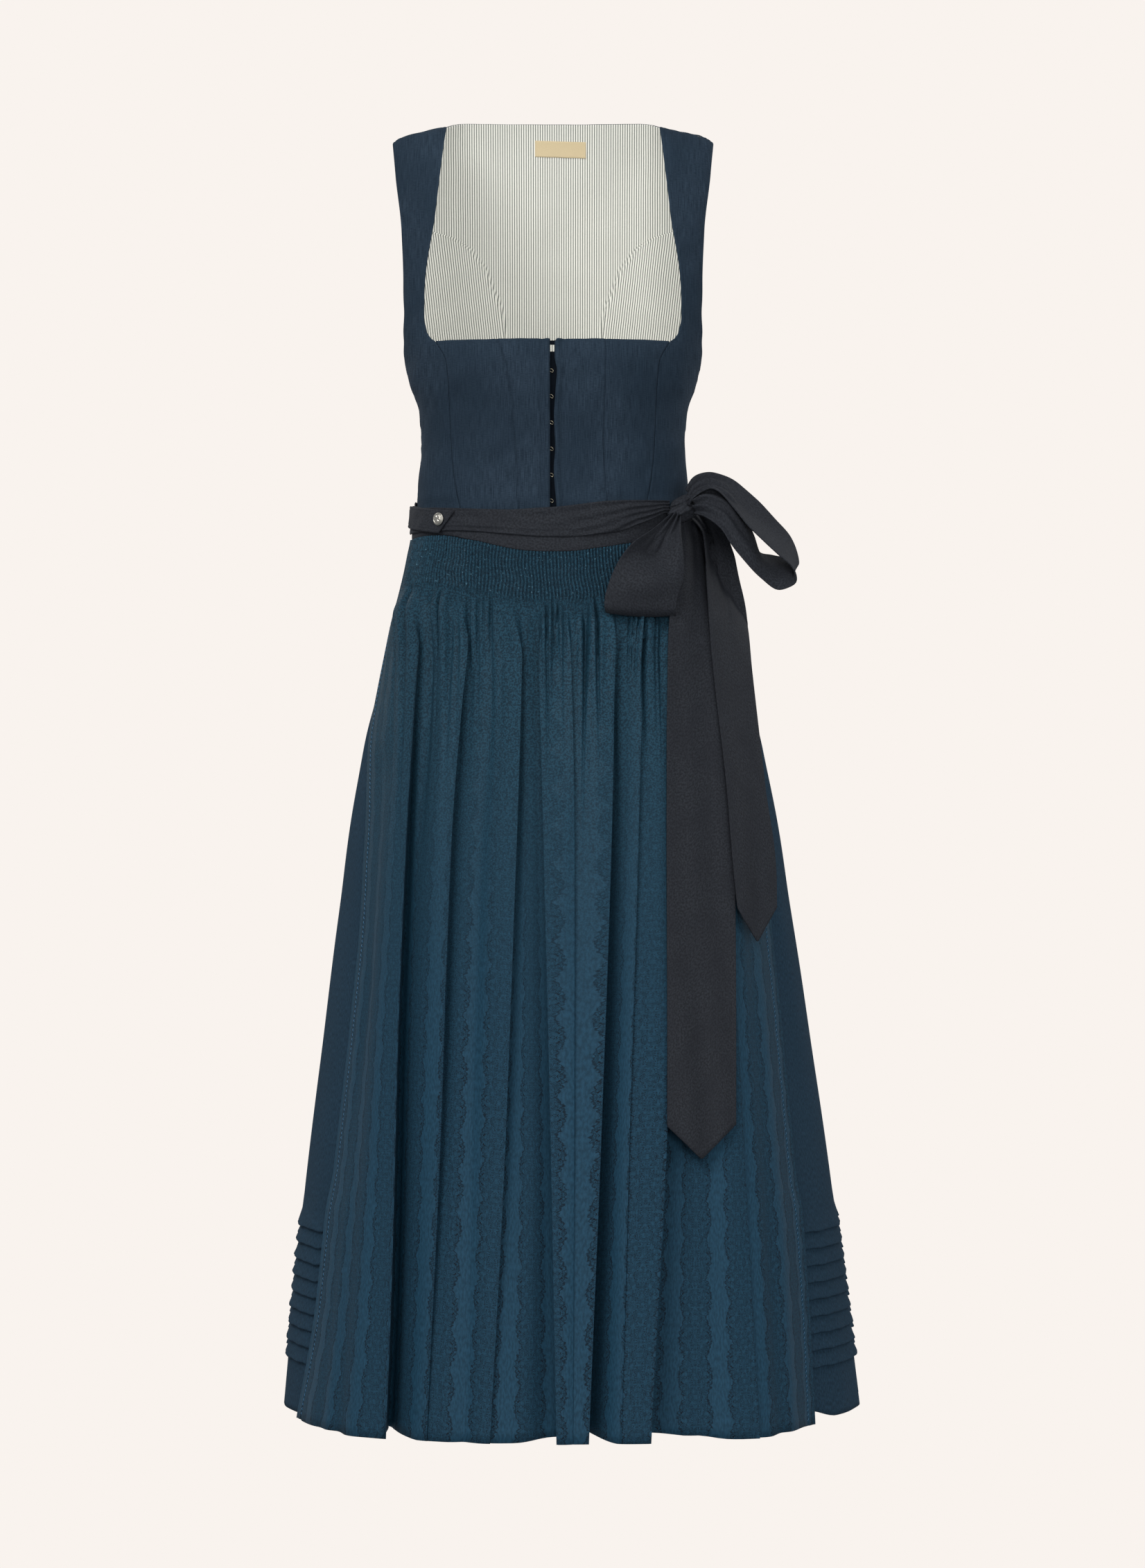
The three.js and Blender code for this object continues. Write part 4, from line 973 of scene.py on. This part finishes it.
def valley_depths(v):
    none = np.zeros_like(v)
    return np.stack([none, *[fold_value(fold, (3, 4, 5), v) for fold in APRON_FOLDS], none])


def overhangs(v):
    """Which fold hangs over each anchor: 1 the left one, -1 the right one, 0 none."""
    return np.stack([side + 0 * v for side in (0, *[fold[6] for fold in APRON_FOLDS], 0)])


def leans(v):
    """By how many degrees the edge of the fold that hangs over each anchor is moved over it."""
    outwards = np.sin(np.radians(apron_anchors(v)))
    reach = valley_depths(v) * np.maximum(0, 0.1 - 0.84 * overhangs(v) * outwards)
    return overhangs(v) * np.degrees(reach / np.maximum(half_width_at(v), 1))


def beside(at_anchors, place, v):
    """The values of a function of the apron's anchors at the left and at the right of each place."""
    index = np.broadcast_to(np.minimum(np.floor(place).astype(int), FOLDS), v.shape)
    values = at_anchors(v)
    return [np.take_along_axis(values, index[None] + step, 0)[0] for step in (0, 1)]


def fold_share(place):
    return place - np.minimum(np.floor(place), FOLDS)


def apron_angle(place, v):
    """place counts anchors from the left edge, and its fraction is the share of a fold's width."""
    share = fold_share(place)
    first, second = beside(apron_anchors, place, v)
    lean_first, lean_second = beside(leans, place, v)
    over_first, over_second = beside(overhangs, place, v)
    start = np.where(over_first < 0, first + lean_first, mix(first, second, SHARP))
    end = np.where(over_second > 0, second + lean_second, mix(first, second, 1 - SHARP))
    angle = mix(first, start, np.clip(share / SHARP, 0, 1))
    angle = angle + (end - start) * np.clip((share - SHARP) / (1 - 2 * SHARP), 0, 1)
    return angle + (second - end) * np.clip((share - 1 + SHARP) / SHARP, 0, 1)


def soft_creases(x, v):
    total = 0
    for x_start, x_middle, x_end, start, peak, end, depth, width in SOFT_CREASES:
        centre = curve([(start, x_start), (peak, x_middle), (end, x_end)])(v)
        rise = smooth_step(start - 14, min(start + 30, peak), v)
        fade = 1 - smooth_step(peak, end, v) if end < HEM else 1
        total = total - depth * rise * fade * bell(x - centre, width)
    return total


def inside_edges(place, first, second):
    """1 over most of the apron, and 0 towards its two edges."""
    return smooth_step(*first, place) * smooth_step(*second, FOLDS + 1 - place)


def apron_shape(place, v):
    """Angles and heights of the apron below the smocking."""
    share = fold_share(place)
    before, after = beside(valley_depths, place, v)
    over_before, over_after = beside(overhangs, place, v)
    slow_rise = np.exp(-((share / SLOW) ** 2))
    slow_drop = np.exp(-(((1 - share) / SLOW) ** 2))
    rise = before * np.where(over_before < 0, 1 - smooth_step(0, SHARP, share), slow_rise)
    drop = after * np.where(over_after > 0, smooth_step(1 - SHARP, 1, share), slow_drop)
    edges = inside_edges(place, (0, 0.75), (0, 0.9))
    angle = apron_angle(place, v)
    x = body_x(angle, v)
    hills = crest_at(v) - rest_at(v) + 1.6 * np.sin(math.pi * share) * smooth_step(500, 700, v)
    hills = hills + soft_creases(x, v) + 0.8 * ripple(x, v * 0.07, 23, 24) * smooth_step(480, 640, v)
    return angle, rest_at(v) + np.maximum(0, hills * edges - rise - drop)


def gathers(x, below):
    """Pleats of the smocking that open into small folds and die out."""
    drift = 0.05 * below * ripple(x, x * 0, 39, 22)
    phase = 2 * math.pi * x / 15 + 6.0 * ripple(x + drift, x * 0, 31, 44)
    crest = 1 - 2 * np.abs(np.cos(phase / 2)) ** 7
    reach = 80 * (1 + 0.7 * ripple(x, x * 0, 35, 21))
    small = crest * np.exp(-((np.maximum(below - 14, 0) / reach) ** 2))
    return 3.4 * small * np.clip(0.9 + 0.8 * ripple(x, x * 0, 33, 25), 0.15, 2) * smooth_step(-4, 16, below)


def smocking(turn, top_angle, below):
    """The height of the smocking's pleats, and how many of them lie to the left."""
    count = turn * SMOCK_PLEATS + 0.22 * ripple(turn * 60, below * 0.6, 37, 13)
    pleat = 0.5 - 0.5 * np.cos(2 * math.pi * count)
    tied = 0.35 * bell(np.mod(below, 9) - 4.5, 0.9) * (below < 0) * (1 - pleat)
    top_x = body_x(top_angle, 440)
    held = smooth_step(-143, -126, top_x) * (1 - smooth_step(126, 143, top_x))
    return SMOCK_RELIEF * (pleat ** 0.6 - tied) * held * (1 - smooth_step(-2, 16, below)), count


def hem_stitches(name, grid, run, side):
    """Slanted stitches down the inner edge of the apron's side hem."""
    def on_row(row, distance):
        return np.array([np.interp(distance, run[row], grid[row, :, axis]) for axis in range(3)])

    def at(depth, distance):
        row = np.interp(depth, depths, np.arange(len(depths)))
        low = min(int(row), len(depths) - 2)
        return mix(on_row(low, distance), on_row(low + 1, distance), row - low)

    depths = np.array([-on_row(row, SIDE_HEM)[2] for row in range(len(grid))])
    stitches = []
    for index, depth in enumerate(np.arange(480, HEM - 4, STITCH_STEP)):
        first, last = at(depth, SIDE_HEM - 1.0), at(depth + 2.2, SIDE_HEM + 1.2)
        lift = unit(np.cross(last - first, [0, 0, side]))
        path = [first + 0.1 * lift, mix(first, last, 0.5) + 0.6 * lift, last + 0.1 * lift]
        stitches.append(tube(f"{name}_{index}", path, 0.36, BLUE_THREAD, sides=4))
    take_place(joined(name, stitches), "apron")


def build_apron():
    turn = even(0, 1, 5 * SMOCK_PLEATS + 1)[None, :]
    waist_angles = even(-BAND_ANGLE, BAND_ANGLE, 400)
    waist_run = run_lengths(body_surface(waist_angles[None, :], np.full((1, 400), 420.0)))[0]
    top_angle = np.interp(turn, waist_run / waist_run[-1], waist_angles)
    top_anchors = apron_anchors(np.array(float(FOLD_TOP)))
    top_anchors[0], top_anchors[-1] = -BAND_ANGLE, BAND_ANGLE
    place = np.interp(top_angle, top_anchors, np.arange(FOLDS + 2))

    smock_top = band_bottom_at(body_x(top_angle, WAIST_SEAM)) + SMOCK_SEAM
    in_yoke = smock_top + even(0, 1, 25)[:-1, None] * SMOCK_HEIGHT
    smock_end = smock_top + SMOCK_HEIGHT
    shares = np.concatenate([even(0, 0.06, 18)[:-1], even(0.06, 0.3, 30)[:-1], even(0.3, 1, 55)])[:, None]
    hem_out = apron_shape(place, np.full_like(place, HEM))[1]
    hem_rise = HEM_RISE * np.maximum(0, crest_at(HEM) - 4 - hem_out)
    hem_rise = hem_rise * inside_edges(place, (0.1, 0.8), (0.1, 0.8))
    v = np.concatenate([in_yoke, mix(smock_end, HEM - hem_rise * shares ** 3, shares)])
    below = v - smock_end

    place = np.broadcast_to(place, v.shape)
    fold_angle, fold_out = apron_shape(place, v)
    angle = mix(np.broadcast_to(top_angle, v.shape), fold_angle, smooth_step(0, 60, below))
    smocked, count = smocking(turn, top_angle, below)
    x = body_x(angle, v)
    inside = inside_edges(place, (0.1, 0.6), (0.1, 0.6))
    puff = 3.0 * bell(below - SMOCK_RELEASE, SMOCK_RELEASE) * inside
    out = mix(SMOCK_CLEARANCE, fold_out + puff, smooth_step(-1, SMOCK_RELEASE, below))
    out = out + smocked + gathers(x, below) * inside - 0.35 * bell(v - 1150 - 0.01 * x, 1.0)
    base = body_point(angle, v, np.maximum(out, 2.5))
    runs = from_sides(base)
    for distance in runs:
        out = out - 0.8 * bell(distance - SIDE_HEM, 1.3) + 0.5 * bell(distance - SIDE_HEM + 5, 3.5)
    grid = body_point(angle, v, np.maximum(out, 2.5))
    hem_run = run_lengths(grid[-1:])[0]
    # in the smocking the cloth's own place counts pleats, so that the painted shade between them follows them
    flat = mix(count * PLEAT_WIDTH, hem_run - hem_run[-1] / 2, smooth_step(0, 20, below))
    sew("apron", "apron_cloth", "apron", grid, plan=np.stack([flat, below], axis=-1), stride=2)
    hem_stitches("hem_stitches_left", grid, runs[0], 1)
    hem_stitches("hem_stitches_right", grid[:, ::-1], runs[1][:, ::-1], -1)


def build_band():
    angles = even(-BAND_ANGLE, BAND_ANGLE, 160)[None, :]
    shares = edge_dense(14)[:, None]
    x = body_x(angles, WAIST_SEAM)
    v = mix(band_top_at(x), band_bottom_at(x), shares)
    out = BAND_GAP + BAND_WALL + 0.25 * ripple(x, v, 43, 22) - 0.6 * bell(1 - shares, 0.05)
    inner = body_point(angles, v, BAND_GAP)
    sew("apron_band", "tie_cloth", "apron_band", body_point(angles, v, out), inner=inner)


# ---- Ties, tab, button and bow --------------------------------------------------------------


def tie_strip(name, ends, columns, heights_at, layer, seed, pull_at):
    """heights_at says where its top and bottom are, and pull_at how tightly it is pleated."""
    angles = even(*ends, columns)[None, :]
    shares = edge_dense(40, 1.25)[:, None]
    x = body_x(angles, 385)
    v = mix(*heights_at(x), shares)
    pull = pull_at(x)
    creases = np.cos(2 * math.pi * (shares * mix(2.0, 4.0, pull) + 0.15 * ripple(x, v * 0, seed, 60)))
    out = layer + WALL + mix(0.5, TIE_PLEAT + 0.5, pull) * (0.5 + 0.5 * creases)
    out = out + 0.35 * ripple(x * 0.5, v, seed + 2, 12) + 0.7 * bell(shares - 0.72, 0.07)
    out = out - 0.6 * bell(shares, 0.02) - 0.6 * bell(1 - shares, 0.02)
    sew(name, "tie_cloth", name, body_point(angles, v, out), inner=body_point(angles, v, layer))


def build_ties():
    front = [curve(TIE_TOP), curve(TIE_BOTTOM)]
    cut, knot = KNOT_HALF_ANGLE, KNOT_ANGLE

    def front_heights(x):
        return [edge_at(x) for edge_at in front]

    def to_knot(x):
        return smooth_step(-20, 95, x)

    tie_strip("tie_front", (-88, knot - cut), 190, front_heights, TIE_LAYER, 47, to_knot)
    tie_strip("tie_right", (knot + cut, 88), 50, lambda x: TIE_RIGHT, TIE_LAYER, 49, to_knot)
    tie_strip("tie_back", (89, 271), 190, lambda x: TIE_BACK, BAND_GAP, 53, lambda x: 0.35)


def build_tab():
    share = edge_dense(26, 1.4)[:, None]
    along = even(0, 1, 60)[None, :]
    angle = mix(TAB["tail"], TAB["tip"] - TAB["slant"] * share, along)
    v = mix(TAB["tail_v"], TAB["tip_v"], along) + (share - 0.5) * TAB["height"]
    from_tip = from_sides(body_point(angle, v, OVER_TIE + WALL))[1]
    edge = np.minimum(np.minimum(share, 1 - share) * TAB["height"], from_tip)
    out = OVER_TIE + WALL + 0.1 * bell(1 - along, 0.05) - 0.55 * bell(edge, 0.7) - 0.4 * bell(edge - 2.6, 0.5)
    grid = body_point(angle, v, out + 0.2 * ripple(along * 90, share * 20, 59, 18))
    sew("tie_tab", "tie_cloth", "tie_tab", grid, inner=body_point(angle, v, OVER_TIE))


def outward_at(angle, v):
    return unit(body_point(angle, v, 1.0) - body_point(angle, v, 0.0))


def turned_form(centre, outward, right, up, out):
    """Points given as grids of how far they lie to the right, up and outwards."""
    to_right = unit(np.cross([0, 0, 1.0], outward))
    upwards = np.cross(outward, to_right)
    return centre + right[..., None] * to_right + up[..., None] * upwards + out[..., None] * outward


def build_button():
    """A domed button with a ring of small scrolls and beads round a raised middle."""
    angle = angle_at(BUTTON["x"], BUTTON["v"])
    centre = body_point(angle, BUTTON["v"], OVER_TIE + WALL + 0.4)
    size = BUTTON["radius"]
    radius = np.concatenate([[0.001, 0.4, 0.8], even(1.1, size, 30), [size, 5.6, 0.001]])[:, None]
    turn = np.linspace(0, 2 * math.pi, 73)[None, :]
    height = BUTTON["rim"] + BUTTON["dome"] * np.sqrt(np.clip(1 - (radius / size) ** 2, 0, 1))
    petals = np.cos(turn * 6) * np.sin(math.pi * np.clip((radius - 1.2) / 2.6, 0, 1))
    beads = np.abs(np.cos(turn * 12)) * bell(radius - 4.9, 0.45)
    groove = bell(radius - 4.1, 0.22) + bell(radius - 5.6, 0.2)
    height = height + 0.28 * petals + 0.4 * beads - 0.35 * groove
    height[-3:] = [[0.6], [0.0], [0.0]]
    outward = outward_at(angle, BUTTON["v"])
    points = turned_form(centre, outward, radius * np.cos(turn), radius * np.sin(turn), height)
    made = make_mesh("tab_button", points, quads(numbered(points)).tolist(), [SILVER])
    take_place(made, "tab_button")


def build_knot():
    """The knot: a band of pleated cloth that wraps round the bow's middle."""
    centre = body_point(KNOT_ANGLE + 1.2, KNOT_DEPTH + 1.5, TIE_LAYER + 9.5)
    outward = unit(outward_at(KNOT_ANGLE, KNOT_DEPTH) + np.array([0.0, -1.0, 0.0]))
    turn = np.linspace(0, 2 * math.pi, 97)[None, :]
    rise = np.linspace(-math.pi / 2, math.pi / 2, 60)[:, None]
    creases = 0.13 * np.cos(rise * 6 + 1.6 * np.sin(turn + 0.6)) + 0.06 * np.cos(rise * 13 + turn)
    wraps = np.cos(rise) ** 0.7 * (1 + creases * np.cos(rise))
    along = KNOT["along"] * wraps * np.cos(turn)
    up = KNOT["up"] * np.sin(rise) * (1 + 0.04 * np.cos(2 * turn))
    cosine, sine = math.cos(KNOT["lean"]), math.sin(KNOT["lean"])
    right, up = along * cosine - up * sine, along * sine + up * cosine
    points = turned_form(centre, outward, right, up, KNOT["out"] * wraps * np.sin(turn))
    plan = np.stack(np.broadcast_arrays(turn * 10, rise * 11), axis=-1)
    made = make_mesh("bow_knot", points, quads(numbered(points))[:, ::-1].tolist(), TIE, plan=plan)
    take_place(made, "bow_knot")


def spline(points, count):
    """A smooth curve through points, evenly stepped between them."""
    points = np.asarray(points, float)
    gaps = np.sqrt(np.linalg.norm(np.diff(points, axis=0), axis=1))
    knots = np.concatenate([[0], np.cumsum(gaps)])
    tangents = np.gradient(points, knots, axis=0)
    at = np.linspace(0, knots[-1], count)
    i = np.clip(np.searchsorted(knots, at) - 1, 0, len(knots) - 2)
    width = (knots[i + 1] - knots[i])[:, None]
    t = ((at - knots[i])[:, None]) / width
    bend = (1 - t) * tangents[i] - t * tangents[i + 1]
    return mix(points[i], points[i + 1], t * t * (3 - 2 * t)) + t * (1 - t) * width * bend


def bow_loop(name, edges, seed, crown, hollow=0.0):
    """hollow is how deep the loop's front is pressed in."""
    edges = np.array(edges, float)
    count = 160
    first, second = spline(edges[:, :3], count), spline(edges[:, 3:], count)
    share = edge_dense(40, 1.3)[None, :]
    grid = mix(first[:, None], second[:, None], share[..., None])
    along = np.linspace(0, 1, count)[:, None]
    near_knot = bell(along, 0.17) + bell(1 - along, 0.17)
    creases = 2.8 * near_knot * np.cos(2 * math.pi * (share * 3.2 + 0.3 * along))
    soft = 1.3 * ripple(along * 260, share * 50, seed, 60)
    across = np.sin(math.pi * share)
    height = crown * across + creases * across ** 0.3 + soft * (1 - near_knot)
    height = height - hollow * np.sin(math.pi * np.clip(share * 1.15, 0, 1)) * bell(along - 0.2, 0.11)
    height = height + 0.45 * hollow * across * bell(along - 0.37, 0.07)
    sew(name, "tie_cloth", name, grid + grid_normals(grid) * height[..., None])


def tail_angle(x, v, out):
    """The angle at which a point that stands off the body has a given x."""
    share = np.clip((x - drift_at(v)) / (half_width_at(v) + out), 0, 0.996)
    return np.degrees(np.arcsin(share ** (exponent_at(v) / 2)))


def bow_tail(name, edges, tip, extra, seed):
    """extra is how far it stands off more than it has to."""
    left_at, right_at = curve(edges, 1), curve(edges, 2)
    share = edge_dense(44, 1.3)[None, :]
    along = even(0, 1, 130)[:, None]
    point = 1 - np.abs(2 * share - 1)
    v = mix(edges[0][0], edges[-1][0] + tip * point, along ** 1.25)
    x = mix(left_at(v), right_at(v), share)
    stand_off = (x - drift_at(v)) / 0.985 - half_width_at(v)
    wave = 1.2 * np.cos(share * 2 * math.pi) + 1.0 * ripple(x, v * 0.12, seed, 30)
    creases = 1.3 * np.cos(2 * math.pi * share * 3.2) * (1 - smooth_step(390, 520, v))
    lift = np.maximum(OVER_TIE + 3, crest_at(v) + 3.4) + extra + 7 * bell(v - 480, 45)
    out = np.maximum(stand_off, lift + wave + creases)
    sew(name, "tie_cloth", name, body_point(tail_angle(x, v, out), v, out))


# ---- Lights and camera ----------------------------------------------------------------------

# place, target, size, power
LIGHTS = {
    "key": ((-2.0, -3.4, 2.4), (0, 0, -0.65), (2.6, 2.0), 108),
    "front": ((0.6, -4.8, 0.0), (0, 0, -0.65), (1.2, 1.6), 50),
    "fill": ((3.0, -2.2, 0.3), (0, 0, -0.7), (1.2, 2.2), 12),
    "back left": ((-1.8, 2.4, 1.2), (0, 0, -0.6), (1.4, 2.0), 16),
    "back right": ((2.4, 2.0, 1.4), (0, 0, -0.6), (1.4, 2.0), 18),
    "inner": ((0.0, -0.06, -0.11), (0, 0.2, -0.11), (0.2, 0.22), 0.1),
}
CAMERA_PLACE = (0.0188, -5.0, -0.636)
LENS = 118.77
PAPER = linear(249, 243, 238)


def build_lights():
    for name, (place, target, size, power) in LIGHTS.items():
        data = bpy.data.lights.new(name, "AREA")
        data.shape = "RECTANGLE"
        data.size, data.size_y = size
        data.energy = power
        light = bpy.data.objects.new(name, data)
        light.location = place
        light.rotation_euler = (Vector(target) - Vector(place)).to_track_quat("-Z", "Y").to_euler()
        light.visible_camera = False
        bpy.context.scene.collection.objects.link(light)


def build_world():
    """Cream paper for the camera, and a soft cool light for the dress."""
    world = bpy.data.worlds.new("studio")
    world.use_nodes = True
    nodes, links = world.node_tree.nodes, world.node_tree.links
    soft = nodes["Background"]
    soft.inputs["Color"].default_value = (0.93, 0.96, 1.0, 1)
    soft.inputs["Strength"].default_value = 0.36
    paper = nodes.new("ShaderNodeBackground")
    paper.inputs["Color"].default_value = PAPER
    chosen = nodes.new("ShaderNodeMixShader")
    links.new(nodes.new("ShaderNodeLightPath").outputs["Is Camera Ray"], chosen.inputs[0])
    links.new(soft.outputs[0], chosen.inputs[1])
    links.new(paper.outputs[0], chosen.inputs[2])
    links.new(chosen.outputs[0], nodes["World Output"].inputs["Surface"])
    bpy.context.scene.world = world


def build_camera():
    data = bpy.data.cameras.new("camera")
    data.lens = LENS
    data.sensor_width = 36
    camera = bpy.data.objects.new("camera", data)
    camera.location = CAMERA_PLACE
    camera.rotation_euler = (math.pi / 2, 0, 0)
    bpy.context.scene.collection.objects.link(camera)
    bpy.context.scene.camera = camera
    bpy.context.scene.view_settings.view_transform = "Standard"


# ---- The whole dress ------------------------------------------------------------------------

build_bodice()
build_label()
build_closure()
build_skirt()
build_apron()
build_band()
build_ties()
build_tab()
build_button()
build_knot()
bow_loop("bow_loop_right", LOOP_RIGHT, 67, crown=4.0)
bow_loop("bow_loop_left", LOOP_LEFT, 69, crown=2.0, hollow=17.0)
bow_tail("bow_tail_long", TAIL_LONG, TAIL_LONG_TIP, 0, 73)
bow_tail("bow_tail_short", TAIL_SHORT, TAIL_SHORT_TIP, 4, 79)
build_lights()
build_world()
build_camera()

# ---- Cut sizes of the cloth -----------------------------------------------------------------

# piece: width and length in metres, how it is held, what it lies on, and the cut's area
CUTS = {
    "front_centre_left": (0.052, 0.173, "hung", ["closure_placket"], 0.0068),
    "front_centre_right": (0.056, 0.173, "hung", ["closure_placket"], 0.0088),
    "front_middle_left": (0.080, 0.173, "hung", [], 0.0115),
    "front_middle_right": (0.066, 0.173, "hung", [], 0.0096),
    "front_side_left": (0.100, 0.390, "hung", [], 0.0256),
    "front_side_right": (0.100, 0.390, "hung", [], 0.0256),
    "back_side_left": (0.150, 0.300, "hung", [], 0.0355),
    "back_side_right": (0.150, 0.300, "hung", [], 0.0355),
    "back_centre": (0.300, 0.390, "hung", [], 0.0645),
    "lining_side_left": (0.150, 0.300, "laid", ["bodice_back_side_left"], 0.035),
    "lining_side_right": (0.150, 0.300, "laid", ["bodice_back_side_right"], 0.035),
    "lining_centre": (0.300, 0.390, "laid", ["bodice_back_centre"], 0.0637),
    "closure_strip": (0.026, 0.161, "laid", ["bodice_front_centre_left"], None),
    "neck_label": (0.050, 0.016, "laid", ["lining_back_centre"], None),
    "skirt_front": (0.950, 0.900, "hung", [], 0.56),
    "skirt_back": (1.150, 0.900, "gathered", [], 0.67),
    "apron": (0.910, 0.840, "gathered", ["skirt_front"], None),
    "apron_band": (0.380, 0.040, "laid", ["skirt_front"], 0.0127),
    "tie_back": (0.382, 0.035, "laid", ["skirt_back"], None),
    "tie_front": (0.315, 0.033, "laid", ["apron_band"], 0.0082),
    "tie_right": (0.050, 0.024, "laid", ["apron_band"], None),
    "tie_tab": (0.090, 0.028, "laid", ["tie_front"], 0.0019),
    "bow_loop_left": (0.071, 0.292, "folded", ["bow_knot"], 0.0128),
    "bow_loop_right": (0.040, 0.330, "folded", ["bow_knot"], None),
    "bow_tail_long": (0.066, 0.628, "hung", ["apron_band"], None),
    "bow_tail_short": (0.052, 0.443, "hung", ["apron_band"], None),
}

GOES_WITH = {
    "tie_front": ["bow_knot"],
    "closure_strip": ["closure_bar"],
    "apron": ["hem_stitches_left", "hem_stitches_right"],
}

for piece_name, (width, length, held, rests_on, area) in CUTS.items():
    goes_with = [PIECES[other] for other in GOES_WITH.get(piece_name, [])]
